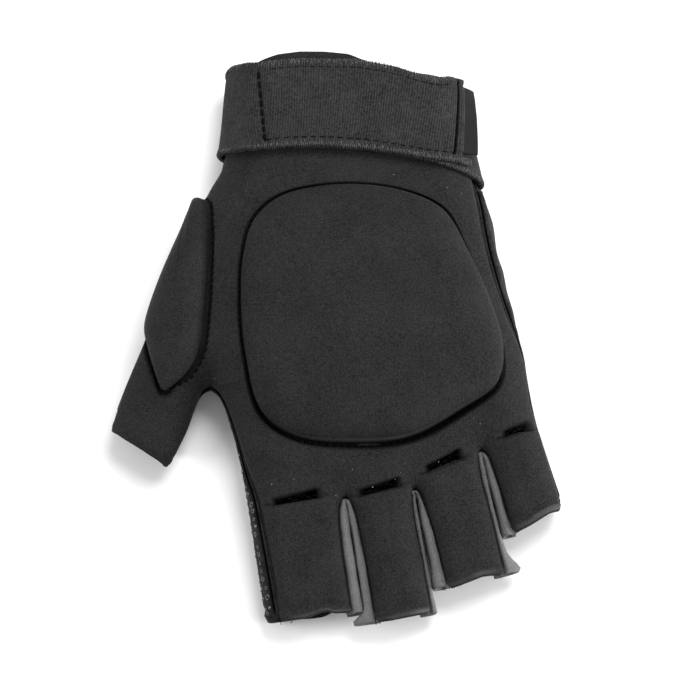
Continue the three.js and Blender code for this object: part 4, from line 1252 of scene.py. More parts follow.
def strip_profile(plan, inward, past, lip, flare):
    """One cut across a strip, from its tuck under the back panel to its tuck over the palm."""
    back = lip_inset(lip, past)
    low_back = lip_inset(PALM_LIP, past)
    under = plan + inward * (back + STRIP_TUCK)
    above, up = top_skin().at(*under)
    below, down = bottom_skin().at(*under)
    roof = above[2] - STRIP_ROOF_DROP / up[2]
    floor = below[2] + STRIP_FLOOR_RISE / -down[2]
    half = (roof - floor) / 2
    edge = back + STRIP_SHOWS
    puff = STRIP_PUFF * min(1.0, 0.4 + edge / 4)
    swell = STRIP_SWELL * min(1.0, past / 5)
    cut = [
        (back + STRIP_TUCK, roof),
        (edge + 0.1, roof - 0.1),
        (edge - 0.2, roof + puff * 0.6),
        (edge * 0.72, roof + puff * 0.97),
        (edge * 0.4, roof + puff),
        (edge * 0.1 - swell * 0.6 - flare * 0.3, roof + puff * 0.7),
        (-flare * 0.75 - swell, roof - half * 0.15),
        (-flare, roof - half),
        (-flare * 0.5, floor + half * 0.5),
        (low_back * 0.45, floor + half * 0.12),
        (low_back + STRIP_TUCK * 0.5, floor),
        (low_back + STRIP_TUCK, floor),
    ]
    path = smooth_path(cut, STRIP_ACROSS)
    return np.column_stack([plan + inward * path[:, :1], path[:, 1]])


def flare_at(flare, past, length):
    """A strip's flare: it opens towards the finger's end and turns in again at its cut edge."""
    reach, run = flare
    opening = float(smooth((past - length + run) / run)) ** 1.3
    return reach * opening * (1 - 0.35 * float(smooth((past - length + 1.8) / 1.8)))


def strip_rows(left_finger, right_finger, flares):
    """The cuts of one strip, down one finger's side, round the crotch and down the other's."""
    line = GROUPS[left_finger][2]
    crotch = line_point(line, CROTCH_ROW)
    sides = []
    for finger, which, sign, flare, lip in (
        (left_finger, 1, 1, flares[0], LIPS[line][0]),
        (right_finger, 0, -1, flares[1], LIPS[line][1]),
    ):
        end = span_ends(finger, END_ROW)[which]
        length = norm(end - crotch)
        inward = unit([end[1] - crotch[1], crotch[0] - end[0]]) * sign
        rows = []
        for past in np.linspace(1.5, length - STRIP_END_INSET, round(length / STRIP_STEP)):
            plan = span_ends(finger, float(CROTCH_ROW + past / length))[which]
            rows.append(strip_profile(plan, inward, past, lip, flare_at(flare, past, length)))
        sides.append(rows)
    apex = []
    for turn in STRIP_APEX_TURNS:
        inward = np.array([math.cos(math.radians(turn)), math.sin(math.radians(turn))])
        plan = crotch + np.array([0, -STRIP_APEX_PAST]) + inward * 0.15
        apex.append(strip_profile(plan, inward, 1.5, LIPS[line][1], 0.0))
    return [*sides[0][::-1], *apex, *sides[1]]


def make_fourchettes(context):
    jersey = stretch_jersey(context.scene)
    thickness = context.scene.glove_sizes.lycra / MM
    for name, left_finger, right_finger, flares in STRIPS:
        cuts = strip_rows(left_finger, right_finger, flares)
        count = len(cuts)
        points = np.vstack(cuts)
        faces = grid_faces(count, STRIP_ACROSS)
        normals = vertex_normals(points, faces)
        depth = 0.3 * wrinkle(points, 7, 4) + 0.14 * wrinkle(points, 2.6, 5)
        points = points - normals * depth[:, None]
        closed, all_faces = close_sheet(points, faces, np.zeros(len(points)), thickness, 0.3)
        around = np.repeat(np.arange(count) * STRIP_STEP, STRIP_ACROSS)
        across = np.tile(np.arange(STRIP_ACROSS) * 0.7, count)
        cloth = np.column_stack([across, around])
        piece_name = name.replace("fourchette", "strip")
        add_piece(piece_name, closed, all_faces, jersey, [name], cloth)


def pad_height(pad, places, inside):
    """A pad's height over the skin at places that lie so far inside its outline."""
    center = np.array(pad["center"])
    at_center, per_x, per_y = pad["rise"]
    rise = at_center + (np.asarray(places) - center) @ np.array([per_x, per_y])
    return pad["edge"] + rise * (1 - edge_drop(np.asarray(inside) / pad["rounding"]))


# The pad's flange as shares of its reach with its lift there, and the steps down into its channel.
FLANGE = [(1.0, -0.6), (0.93, -0.22), (0.88, -0.04), (0.8, 0.02), (0.68, 0.04), (0.56, 0.05)]
CHANNEL_STEPS = [1.25, 1.08, 0.95, 0.84, 0.72, 0.55, 0.35, 0.17]
FINE_RINGS = [0, 0.12, 0.26, 0.42, 0.6, 0.82, 1.1, 1.45, 1.9, 2.5, 3.2, 4.1, 5.1, 6.2, 7.4, 8.8, 10.4, 12.0]
PAD_FLOOR = 2.65
INNER_RINGS = 15


def channel_sunk(step, laid):
    """How far down the sewn channel's wall has come at a share of its width, from 0 to 1."""
    return 1 - float(smooth((step - 0.45) / 0.65)) * laid


def pad_rings(pad, outline):
    """The pad's rings from its flange to near its middle: depth inside the outline, lift or None, crease."""
    rings = []
    laid = smooth(outline.flange / 1.5)
    for share, lift in FLANGE:
        rings.append((-outline.flange * share, lift * laid - outline.depth * (1 - laid), 0.0))
    for step in CHANNEL_STEPS:
        out = np.minimum(outline.width * step, outline.flange * 0.5 * step / CHANNEL_STEPS[0])
        sunk = channel_sunk(step, laid)
        rings.append((-out, 0.06 - (outline.depth + 0.06) * sunk, sunk))
    fine = np.array(FINE_RINGS) * pad["fine"] / FINE_RINGS[-1]
    for depth in fine:
        rings.append((np.full(pad["sectors"], depth), None, None))
    share = fine[-1] / outline.reach
    for step in np.linspace(0, 0.985, INNER_RINGS + 1)[1:]:
        rings.append((outline.reach * (share + (1 - share) * step), None, None))
    return rings


def make_pad(context, name):
    pad, outline = PADS[name], pad_outline(name)
    sectors = pad["sectors"]
    skin = top_skin()
    rows, floor, pinned, painted_shading = [], [], [], []
    for depth, lift, sunk in pad_rings(pad, outline):
        places = outline.corners - outline.rays * (depth / outline.reach)[:, None]
        if lift is None:
            inside = np.maximum(0, -outline.outside(places)[0])
            climb = smooth(inside / (0.3 + 0.45 * outline.width))
            lift = -outline.depth + (pad_height(pad, places, inside) + outline.depth) * climb
            sunk = 1 - climb
        # Painted shade down the channel's wall and on its floor, as dark as the table's shade column.
        painted_shading.append(sunk * outline.shade)
        made = [skin.at(*place) for place in places]
        surface = np.array([point for point, _ in made])
        normals = np.array([normal for _, normal in made])
        rows.append(surface + normals * (lift - slack(surface))[:, None])
        floor.append(surface - normals * PAD_FLOOR)
        pinned.extend([bool(depth.max() <= 0.3)] * sectors)
    point, normal = skin.at(*pad["center"])
    middle = pad_height(pad, pad["center"], pad["rounding"]) - slack(np.array([point]))[0]
    rows.append(np.array([point + normal * middle]))
    floor.append(np.array([point - normal * PAD_FLOOR]))
    pinned.append(False)
    points = np.vstack(rows)
    faces = grid_faces(len(rows) - 1, sectors, closed=True)
    inner = (len(rows) - 2) * sectors
    for s in range(sectors):
        faces.append((inner + s, inner + (s + 1) % sectors, len(points) - 1))
    if not is_up(points, faces):
        faces = [tuple(reversed(face)) for face in faces]
    points = puff(points, faces, pinned)
    closed, all_faces = close_pad(points, faces, np.vstack(floor))
    cover, painted_shading = knit_faced_neoprene(context.scene), np.concatenate(painted_shading)
    piece = add_piece(f"{name}_foam", closed, all_faces, cover, [f"{name}_pad"], painted_shading=painted_shading)


def is_up(points, faces):
    return vertex_normals(points, faces)[:, 2].mean() > 0


PUFF_FRAMES = 20
PUFF_START = 0.35
PUFF_CAP = 0.7
FOAM_COVER = {
    "quality": 6, "mass": 0.3, "tension_stiffness": 15, "compression_stiffness": 15, "shear_stiffness": 8,
    "bending_stiffness": 1.5, "use_pressure": True, "uniform_pressure_force": 4.0,
}
EVEN_PASSES = 20


def puff(points, faces, pinned):
    """The pad's cover swollen by its foam: a cloth simulation held all round at the stitched channel."""
    normals = vertex_normals(points, faces)
    free = np.array([not pin for pin in pinned])
    start = points - normals * (PUFF_START * free)[:, None]
    mesh = bpy.data.meshes.new("swelling_cover")
    mesh.from_pydata((start * MM).tolist(), [], faces)
    cover = add_object("swelling_cover", mesh)
    scene = bpy.context.scene
    group = cover.vertex_groups.new(name="stitched")
    group.add([i for i, pin in enumerate(pinned) if pin], 1.0, "REPLACE")
    cloth = cover.modifiers.new("Cloth", "CLOTH")
    for name, value in FOAM_COVER.items():
        setattr(cloth.settings, name, value)
    cloth.settings.vertex_group_mass = group.name
    cloth.settings.effector_weights.gravity = 0
    cloth.point_cache.frame_start = 1
    cloth.point_cache.frame_end = PUFF_FRAMES
    for number in range(1, PUFF_FRAMES + 1):
        scene.frame_set(number)
    evaluated = cover.evaluated_get(bpy.context.evaluated_depsgraph_get())
    swollen = np.array([v.co for v in evaluated.data.vertices]) / MM
    bpy.data.objects.remove(cover)
    bpy.data.meshes.remove(mesh)
    scene.frame_set(1)
    moved = swollen - points
    length = norm(moved, axis=1, keepdims=True)
    return points + evened(moved * np.minimum(1.0, PUFF_CAP / np.maximum(length, 1e-9)), faces, free)


def evened(moved, faces, free):
    """Each free point's move, drawn to its neighbours' mean, so that a stiff foam's cover has no wrinkle."""
    pairs = np.array([(a, b) for face in faces for a, b in zip(face, (*face[1:], face[0]))])
    count = np.bincount(pairs[:, 0], minlength=len(moved))
    for _ in range(EVEN_PASSES):
        total = np.zeros_like(moved)
        np.add.at(total, pairs[:, 0], moved[pairs[:, 1]])
        moved = total * (free / count)[:, None]
    return moved


def close_pad(points, faces, floor):
    """A pad's cover closed by a floor that lies in the back panel's seat."""
    count = len(points)
    closed = list(faces)
    closed.extend(tuple(i + count for i in reversed(face)) for face in faces)
    for a, b in rim_edges(faces):
        closed.append((b, a, a + count, b + count))
    return np.vstack([points, floor]), closed


# The strap's way round the wrist, in stations: 0 to 8 across the back towards the little finger, 8 to 17
# round that side, 17 to 21 back across the palm, 21 to 30 round the thumb's side. It laps over its own start.
RING_BACK = 8
RING_ULNAR = 17
RING_PALM = 21
RING_LAP = 30
RING_SIDE_STEP = 20
STRAP_START = -0.9
STRAP_END = 40.35
STRAP_END_SKEW = 1.45
STRAP_RAMP = (27.4, 28.9)

# The strap's two edges as cross-rows: station, upper edge, lower edge. The first lap hides under the second.
STRAP_EDGES = [
    (-2, 0.13, 0.96), (4, 0.13, 0.965), (6.5, 0.125, 0.985), (8, 0.12, 1), (9, 0.12, 1.025),
    (11, 0.11, 1.045), (17, 0.09, 1.02), (22, 0.05, 0.97), (24, 0.035, 0.94), (25.5, 0.025, 0.95),
    (27, 0.025, 0.995),
    (28.3, 0.075, 1.05), (29, 0.105, 1.066), (30, 0.107, 1.045), (31, 0.103, 1.01), (33, 0.106, 0.992),
    (34, 0.104, 1.005), (35, 0.093, 1.015), (36, 0.095, 1.012), (37, 0.104, 1.01), (38, 0.135, 1.007),
    (39, 0.158, 0.985), (40, 0.115, 0.96), (42, 0.065, 0.9),
]
STRAP_STEP = 1.0
STRAP_WIDTH_STEPS = 54

# The folded label: its cross-rows, how far it stands out at each, and how much straighter than the strap.
LABEL_ROWS = (0.14, 0.84)
LABEL_REACH = (4.9, 7.1)
LABEL_TUCK = 4.0
LABEL_STRAIGHT = 0.5
LABEL_CORNER = 0.5


class WristRing:
    """The closed ring of the wrist's skin, as a table over rows and stations that is read in between."""

    def __init__(self, elastic):
        self.rows = np.linspace(-0.06, 1.2, 64)
        self.stations = np.linspace(0, RING_LAP, 30 * 24 + 1)
        table = np.array([self.row_points(float(row)) for row in self.rows])
        down = np.gradient(table, axis=0)
        ahead = np.roll(table[:, :-1], -1, axis=1) - np.roll(table[:, :-1], 1, axis=1)
        ahead = np.concatenate([ahead, ahead[:, :1]], axis=1)
        self.table = table
        self.normals = unit(np.cross(down, ahead))
        self.layer = LAYER_GAP + elastic
        self.edge_stations = np.linspace(STRAP_START - 1, STRAP_END + 1.5, 400)
        self.edges = np.array([along(STRAP_EDGES, station) for station in self.edge_stations])

    def row_points(self, row):
        cross = cross_row(HAND_AND_THUMB, round(row, 5))
        points = np.zeros((len(self.stations), 3))
        k = self.stations
        for low, high, top in ((0, RING_BACK, True), (RING_ULNAR, RING_PALM, False)):
            zone = (k >= low) & (k < high)
            flat = [cross.side_radius(LEFT, top), cross.width - cross.side_radius(RIGHT, top)]
            start, end = flat if top else flat[::-1]
            points[zone] = cross.points(start + (end - start) * ((k[zone] - low) / (high - low)), top)
        zone = (k >= RING_BACK) & (k < RING_ULNAR)
        points[zone] = cross.wrap_points(RIGHT, 90 - (k[zone] - RING_BACK) * RING_SIDE_STEP)
        zone = k >= RING_PALM
        points[zone] = cross.wrap_points(LEFT, -90 + (k[zone] - RING_PALM) * RING_SIDE_STEP)
        return points

    def read(self, table, row, station):
        """Values of a table at arrays of rows and stations."""
        r = (np.asarray(row) - self.rows[0]) / (self.rows[1] - self.rows[0])
        s = np.mod(station, RING_LAP) / (self.stations[1] - self.stations[0])
        i, j = np.floor(r).astype(int), np.floor(s).astype(int)
        j = np.minimum(j, len(self.stations) - 2)
        u, v = (r - i)[..., None], (s - j)[..., None]
        low = table[i, j] * (1 - v) + table[i, j + 1] * v
        high = table[i + 1, j] * (1 - v) + table[i + 1, j + 1] * v
        return low * (1 - u) + high * u

    def raised(self, row, station, height):
        """Points lifted off the ring, with their outward directions."""
        normals = unit(self.read(self.normals, row, station))
        return self.read(self.table, row, station) + normals * np.asarray(height)[..., None], normals

    def strap_height(self, station):
        low, high = STRAP_RAMP
        return self.layer * (1 + smooth((np.asarray(station) - low) / (high - low)))

    def strap_row(self, share, station):
        top, bottom = (np.interp(station, self.edge_stations, self.edges[:, k]) for k in (0, 1))
        return top + (bottom - top) * share

    def strap_end(self, share):
        return STRAP_END + STRAP_END_SKEW * (0.5 - share)

    def strap_point(self, share, station, lift=0.0):
        """A place on the strap's outer face: share across its width from the cuff, station along it."""
        share, station = np.asarray(share, float), np.asarray(station, float)
        row = self.strap_row(share, station)
        return self.raised(row, station, self.strap_height(station) + lift)


@lru_cache(maxsize=None)
def wrist_ring(elastic):
    return WristRing(elastic)


def strap_lengths(ring):
    """Lengths along the strap's middle, measured back from its free end, at fine stations."""
    stations = np.linspace(STRAP_START, ring.strap_end(0.5), 1600)
    points, _ = ring.strap_point(np.full(len(stations), 0.5), stations)
    length = lengths_along(points)
    return stations, length[-1] - length


# The patch stitched through the strap's upper layer, in millimetres from the free end and the strap's edges.
PATCH_FAR = 71.5
PATCH_FAR_SLANT = 2.6
PATCH_SEAM_REACH = 4.2
PATCH_NEAR = 3.1
PATCH_NEAR_SLANT = -0.1
PATCH_TOP = 2.3
PATCH_BOTTOM = 3.7
OVERLOCK_WIDTHS = (1.9, 3.2)
STRAP_WIDTH = 31.0


def patch_far(share):
    """The patch's far side, which slants across the strap."""
    return PATCH_FAR + PATCH_FAR_SLANT * (1 - 2 * share)


def patch_near(share):
    """The patch's side beside the strap's free end."""
    return PATCH_NEAR + PATCH_NEAR_SLANT * (1 - 2 * share)


def strap_relief(from_end, share):
    """How far the strap is sunk or raised, and how much painted shade lies in the seam by its free end, 0 to
    1.

    Rows of stitches pull it in, and its overlocked edges stand up.
    """
    from_top = share * STRAP_WIDTH
    from_bottom = (1 - share) * STRAP_WIDTH
    far, near = patch_far(share), patch_near(share)
    above_seam = from_bottom > PATCH_BOTTOM - 0.3
    between = (from_top > PATCH_TOP - 0.3) & above_seam
    along_patch = from_end < far
    # The seam beside the free end is sunk by this share and painted dark by it as painted shade.
    painted_shading = groove(from_end - near, 0.42) * ((from_top > 0.5) & above_seam)
    depth = 0.75 * groove(from_end - far, 0.7) * between + 1.2 * painted_shading
    depth -= 0.35 * groove(from_end - near + 2.0, 0.8) * between
    depth += 0.45 * groove(from_top - PATCH_TOP, 0.55) * along_patch
    depth += 0.5 * groove(from_bottom - PATCH_BOTTOM, 0.55) * along_patch
    depth -= 0.3 * between * smooth((far - 0.8 - from_end) / 3)
    for away, width in zip((from_top, from_bottom), OVERLOCK_WIDTHS):
        depth -= 0.2 * smooth((width - away) / 1.2)
    return depth, clamp(1.2 * painted_shading)


def make_strap(context):
    sizes = context.scene.glove_sizes
    ring = wrist_ring(sizes.elastic / MM)
    stations, from_end = strap_lengths(ring)
    coarse = np.arange(7, from_end[0], STRAP_STEP)
    seam = np.arange(PATCH_FAR - PATCH_SEAM_REACH, PATCH_FAR + PATCH_SEAM_REACH, 0.35)
    steps = np.unique(np.round([*np.arange(0, 6.6, 0.2), *coarse, *seam], 2))[::-1]
    at = np.interp(-steps, -from_end, stations)
    width = STRAP_WIDTH_STEPS + 1
    shares = np.linspace(0, 1, width)
    share_grid, step_grid = np.meshgrid(shares, steps)
    end_shift = ring.strap_end(share_grid) - ring.strap_end(0.5)
    station_grid = at[:, None] + end_shift * smooth((at[:, None] - 30) / 8)
    points, _ = ring.strap_point(share_grid, station_grid)
    points = points.reshape(-1, 3)
    faces = grid_faces(len(steps), width)
    # The second value is painted shade in the seam beside the free end.
    depth, painted_shading = strap_relief(step_grid.ravel(), share_grid.ravel())
    depth += 0.18 * wrinkle(points, 14, 6) + 0.06 * wrinkle(points, 4, 7)
    closed, all_faces = close_sheet(points, faces, depth, sizes.elastic / MM, 0.35)
    cloth = np.column_stack([step_grid.ravel(), share_grid.ravel() * STRAP_WIDTH])
    elastic = knitted_elastic(context.scene)
    add_piece("strap_elastic", closed, all_faces, elastic, ["wrist_strap"], cloth, painted_shading)


def make_label(context):
    sizes = context.scene.glove_sizes
    ring = wrist_ring(sizes.elastic / MM)
    top, bottom = LABEL_ROWS
    rows = np.linspace(top, bottom, 40)
    points = []
    steps = np.linspace(0, 1, 26)
    height = ring.layer + LAYER_GAP + sizes.label / MM
    for row in rows:
        share = (row - top) / (bottom - top)
        station = ring.strap_end(share) + np.array([0, -0.25])
        (base, before), normals = ring.raised(np.full(2, row), station, np.full(2, height))
        ahead = unit(unit(base - before) + np.array([LABEL_STRAIGHT, 0, 0]))
        reach = np.interp(share, (0, 1), LABEL_REACH)
        out = steps * (LABEL_TUCK + reach) - LABEL_TUCK
        round_off = LABEL_CORNER * clamp(out / reach) ** 3 * np.sign(0.5 - share) * abs(2 * share - 1) ** 3
        under = normals[0] * (0.02 * np.minimum(0, out) ** 2)[:, None]
        points.append(base + ahead * out[:, None] - under - np.array([0, 1, 0]) * round_off[:, None])
    points = np.vstack(points)
    faces = [(a, d, c, b) for a, b, c, d in grid_faces(len(rows), len(steps))]
    depth = 0.12 * wrinkle(points, 5, 8)
    closed, all_faces = close_sheet(points, faces, depth, sizes.label / MM, 0.2)
    across, down = np.meshgrid(steps * 15, (rows - top) * 35)
    cloth = np.column_stack([across.ravel(), down.ravel()])
    satin = woven_satin(context.scene)
    add_piece("label_satin", closed, all_faces, satin, ["strap_label"], cloth)


class Thread:
    """Many short lengths of thread, gathered into one mesh."""

    def __init__(self, sides=6):
        self.points = []
        self.faces = []
        self.sides = sides
        turns = [2 * math.pi * k / sides for k in range(sides)]
        self.turns = [(math.cos(turn), math.sin(turn)) for turn in turns]

    def add(self, line, normals, radius):
        """One length of thread along a line, closed at both ends, with one normal or one for each point."""
        line = np.asarray(line, float)
        tangents = unit(np.gradient(line, axis=0))
        across = unit(np.cross(tangents, normals))
        up = np.cross(across, tangents)
        first = len(self.points)
        for place, side, top in zip(line, across, up):
            self.points.extend(place + radius * (side * c + top * s) for c, s in self.turns)
        self.faces.extend(grid_faces(len(line), self.sides, first, closed=True))
        last = first + (len(line) - 1) * self.sides
        self.faces.append(tuple(range(first, first + self.sides))[::-1])
        self.faces.append(tuple(range(last, last + self.sides)))

    def dash(self, start, end, normal, radius, rise, dive):
        """One stitch: out of the fabric, flat along it and back in."""
        start, end = np.asarray(start, float), np.asarray(end, float)
        steps = np.array([0.0, 0.12, 0.32, 0.68, 0.88, 1.0])
        lift = np.array([-dive, rise * 0.4, rise, rise, rise * 0.4, -dive])
        line = start + (end - start) * steps[:, None] + normal * lift[:, None]
        self.add(line, normal, radius)


def sew_channel(thread, name, sizes):
    """The running stitch at the bottom of a pad's channel."""
    outline = pad_outline(name)
    skin = top_skin()
    share, longer, thicker = PADS[name]["stitch"]
    pitch, length = sizes.stitch_pitch / MM * longer, sizes.stitch_length / MM * longer
    ring = outline.corners + outline.out * (outline.width * share)[:, None]
    around = lengths_along(np.vstack([ring, ring[:1]]))[-1]
    for x, y in spaced(ring, round(around / pitch), closed=True):
        nearest = outline.tree.find((x, y, 0))[1]
        if outline.depth[nearest] < 1.0:
            continue
        tangent = np.array([-outline.out[nearest][1], outline.out[nearest][0]])
        surface, normal = skin.at(x, y)
        sunk = outline.depth[nearest] * channel_sunk(share, 1.0)
        base = surface - normal * (sunk - 0.1 + slack(np.array([surface]))[0])
        run = np.array([*tangent, 0.0]) * length / 2
        thread.dash(base - run, base + run, normal, sizes.thread / MM / 2 * thicker, 0.3, 0.5)


def sew_darts(thread, sizes):
    """The uneven stitches that close each dart."""
    chance = random.Random(5)
    skin = top_skin()
    for start, end, width in DARTS:
        start, end = np.array(start, float), np.array(end, float)
        tangent = unit(end - start)
        beyond = np.array([tangent[1], -tangent[0]])
        for share in np.linspace(0.08, 0.92, 9):
            aside = -width * chance.uniform(0.1, 0.75)
            place = start + (end - start) * (share + chance.uniform(-0.03, 0.03)) + beyond * aside
            surface, normal = skin.at(*place)
            base = surface - normal * (sizes.dart_depth / MM * 0.95)
            lean = tangent + beyond * chance.uniform(-0.5, 0.5)
            run = np.array([*lean, 0.0]) * chance.uniform(0.35, 0.95)
            thread.dash(base - run, base + run, normal, sizes.thread / MM / 2, 0.3, 0.4)


def sew_patch(thread, sizes):
    """The rows of stitches round the patch on the strap's upper layer."""
    ring = wrist_ring(sizes.elastic / MM)
    stations, from_end = strap_lengths(ring)

    def place(length, share, lift):
        station = float(np.interp(-length, -from_end, stations))
        point, normal = ring.strap_point(np.array([share]), np.array([station]), np.array([lift]))
        return point[0], normal[0]

    radius = sizes.thread / MM / 2
    lift = -0.3
    low_share, high_share = PATCH_TOP / STRAP_WIDTH, 1 - PATCH_BOTTOM / STRAP_WIDTH
    for side, pitch, dash, sunk in ((patch_far, 3.2, 1.9, -0.55), (patch_near, 2.7, 2.1, -0.9)):
        count = round((high_share - low_share) * STRAP_WIDTH / pitch)
        for k in range(count):
            share = low_share + (high_share - low_share) * (k + 0.5) / count
            ends = [share - dash / 2 / STRAP_WIDTH, share + dash / 2 / STRAP_WIDTH]
            a, b = (place(side(end), end, sunk) for end in ends)
            thread.dash(a[0], b[0], a[1], radius * 2.3, 0.16, 0.4)
    for share in (low_share, high_share):
        for length in np.arange(PATCH_NEAR + 1.2, PATCH_FAR - 1, 2.9):
            a, normal = place(length - 1.05, share, lift + 0.05)
            b, _ = place(length + 1.05, share, lift + 0.05)
            thread.dash(a, b, normal, radius, 0.14, 0.35)


def make_stitches(context):
    sizes = context.scene.glove_sizes
    thread = Thread()
    for name in PADS:
        sew_channel(thread, name, sizes)
    sew_darts(thread, sizes)
    sew_patch(thread, sizes)
    add_piece("stitches", thread.points, thread.faces, dark_thread(context.scene))


def make_overlock(context):
    """The slanting threads that bind both edges of the strap, in pairs that lean together."""
    sizes = context.scene.glove_sizes
    ring = wrist_ring(sizes.elastic / MM)
    stations, from_end = strap_lengths(ring)
    chance = random.Random(7)
    thread = Thread(5)
    elastic = sizes.elastic / MM
    pitch = sizes.overlock_pitch / MM
    for edge, width in enumerate(OVERLOCK_WIDTHS):
        for length in np.arange(0.8, from_end[0] - 0.6, pitch):
            slant = chance.choice((0.9, 1.3, -0.5)) + chance.uniform(-0.3, 0.3)
            reach = width * chance.uniform(0.55, 1.0)
            inward = np.array([reach, reach * 0.66, reach * 0.33, 0.15, -0.58, -0.58, 0.3])
            lifts = np.array([-0.25, 0.12, 0.2, 0.2, -0.25, -elastic + 0.2, -elastic - 0.12])
            lifts[1:4] += chance.uniform(-0.08, 0.08)
            shares = inward / STRAP_WIDTH if edge == 0 else 1 - inward / STRAP_WIDTH
            lengths = length + slant * (inward / width) * pitch
            at = np.interp(-lengths, -from_end, stations)
            line, normals = ring.strap_point(shares, at, lifts)
            thread.add(line, normals, chance.uniform(0.11, 0.18))
    nylon = spun_thread("Textured_nylon_thread", context.scene.glove_colors.edge_thread)
    add_piece("overlock_threads", thread.points, thread.faces, nylon)


DOT_PITCH = 3.1
DOT_RADIUS = 0.85
DOT_TURNS = 12
DOT_PROFILE = ((0.8, -0.2), (0.85, 0.05), (0.6, 0.2), (0.3, 0.24), (0.0, 0.25))
RING_PROFILE = ((1.05, -0.2), (1.08, 0.02), (0.95, 0.17), (0.78, 0.17), (0.68, 0.02), (0.66, -0.2))


def palm_dot_places(context):
    """Where the silicone print lies: even places over the palm and the index finger's side."""
    points, faces, to_end = palm_surface()
    edge = from_rim(points, faces)
    normals = vertex_normals(points, faces)
    depth = palm_depth(points, edge, to_end, context.scene.glove_sizes)
    surface = points - normals * depth[:, None]
    beside_index = (points[:, 1] < -22) & (points[:, 0] < -20) & (points[:, 0] > -44)
    facing_down = normals[:, 2] < -0.55
    keep = (edge > 1.2) & (beside_index | facing_down)
    cells = {}
    for i in np.flatnonzero(keep):
        cell = tuple(np.round(surface[i] / (DOT_PITCH * 0.92)).astype(int))
        away = norm(surface[i] - np.array(cell) * DOT_PITCH * 0.92)
        if cell not in cells or away < cells[cell][0]:
            cells[cell] = (away, i)
    tree = tree_of(surface)
    taken = np.zeros(len(points), bool)
    chosen = []
    for _, i in sorted(cells.values(), key=lambda entry: entry[1]):
        near = tree.find_range(surface[i], DOT_PITCH * 0.72)
        if any(taken[j] for _, j, _ in near):
            continue
        taken[i] = True
        chosen.append((surface[i], normals[i]))
    return chosen


def make_grip_print(context):
    """Small printed rings and dots of silicone over the palm."""
    chance = random.Random(11)
    points, faces = [], []
    for number, (place, normal) in enumerate(palm_dot_places(context)):
        side = unit(np.cross(normal, [0.3, 0.9, 0.2]))
        other = np.cross(normal, side)
        profile = DOT_PROFILE if number % 3 == 0 else RING_PROFILE
        size = DOT_RADIUS * chance.uniform(0.65, 1.2)
        flat_turn = chance.uniform(0, 2 * math.pi)
        flatness = chance.uniform(0.1, 0.45)
        first = len(points)
        turn_start = chance.uniform(0, 1)
        for reach, height in profile:
            for k in range(DOT_TURNS):
                turn = 2 * math.pi * (k + turn_start) / DOT_TURNS
                spread = size * reach * (1 - flatness * max(0.0, math.cos(turn - flat_turn)))
                across = side * spread * math.cos(turn) + other * spread * math.sin(turn)
                points.append(place + across + normal * height)
        faces.extend(grid_faces(len(profile), DOT_TURNS, first, closed=True))
    add_piece("grip_print", points, faces, silicone_print(context.scene))


# How deep in its layer a strand hangs out, and where: group, back or palm, from and to across the end, and
# how many strands.
FRAY_SUNK = {"palm": 0.7, "back": 2.2}
FRAY_ENDS = (
    (INDEX, "palm", 0.05, 0.3, 4),
    (MIDDLE, "back", 0.0, 0.12, 7),
    (MIDDLE, "palm", 0.02, 0.3, 8),
    (RING, "back", 0.0, 0.14, 9),
    (RING, "palm", 0.02, 0.4, 8),
    (LITTLE, "back", 0.0, 0.1, 4),
    (LITTLE, "palm", 0.8, 0.98, 6),
)


def make_loose_threads(context):
    """Short ends and loops of seam thread at the finger ends."""
    chance = random.Random(3)
    thread = Thread(5)
    for group, face, low, high, count in FRAY_ENDS:
        shorter = PALM_SHORTER[group] if face == "palm" else 0
        start, end = span_ends(group, END_ROW)
        root_start, root_end = span_ends(group, END_ROW - 0.2)
        down = unit((start + end) - (root_start + root_end))
        skin = top_skin() if face == "back" else bottom_skin()
        for _ in range(count):
            share = 0.06 + 0.88 * chance.uniform(low, high)
            back = 1.6 + shorter + chance.uniform(0.0, 0.8)
            surface, normal = skin.at(*(start + (end - start) * share - down * back))
            base = surface - normal * FRAY_SUNK[face]
            reach = chance.uniform(0.5, 1.5)
            bend = chance.uniform(-0.8, 0.8)
            ahead = np.array([*down, 0.0])
            aside = np.array([-down[1], down[0], 0.0])
            line = [
                base,
                base + ahead * (1.3 + reach * 0.4) + aside * bend * 0.3,
                base + ahead * (1.3 + reach * 0.8) + aside * bend * 0.9 + normal * 0.2,
                base + ahead * (1.2 + reach) + aside * bend * 1.5,
            ]
            thread.add(smooth_path(line, 7), normal, 0.14)
    add_piece("loose_threads", thread.points, thread.faces, dark_thread(context.scene))


LINT_COUNT = 60


def make_lint(context):
    """A few pale specks of lint that cling to the knit."""
    chance = random.Random(19)
    thread = Thread(4)
    skin = top_skin()
    for _ in range(LINT_COUNT):
        x = chance.uniform(-42, 58)
        y = chance.uniform(-60, 55)
        turn = chance.uniform(0, math.pi)
        reach = chance.uniform(0.1, 0.3)
        surface, normal = skin.at(x, y)
        over_pad = pad_outline("hand").outside([surface])[0][0] < 4
        if surface[2] < 17 or over_pad:
            continue
        run = np.array([math.cos(turn), math.sin(turn), 0]) * reach
        base = surface + normal * (0.06 - slack(np.array([surface]))[0])
        line = [base - run, base + normal * 0.08, base + run]
        thread.add(line, [normal] * 3, 0.07)
    cotton = spun_thread("Cotton_lint", context.scene.glove_colors.lint)
    add_piece("lint", thread.points, thread.faces, cotton)


def length_property(label, description, metres):
    return FloatProperty(name=label, description=description, default=metres, unit="LENGTH", precision=5)


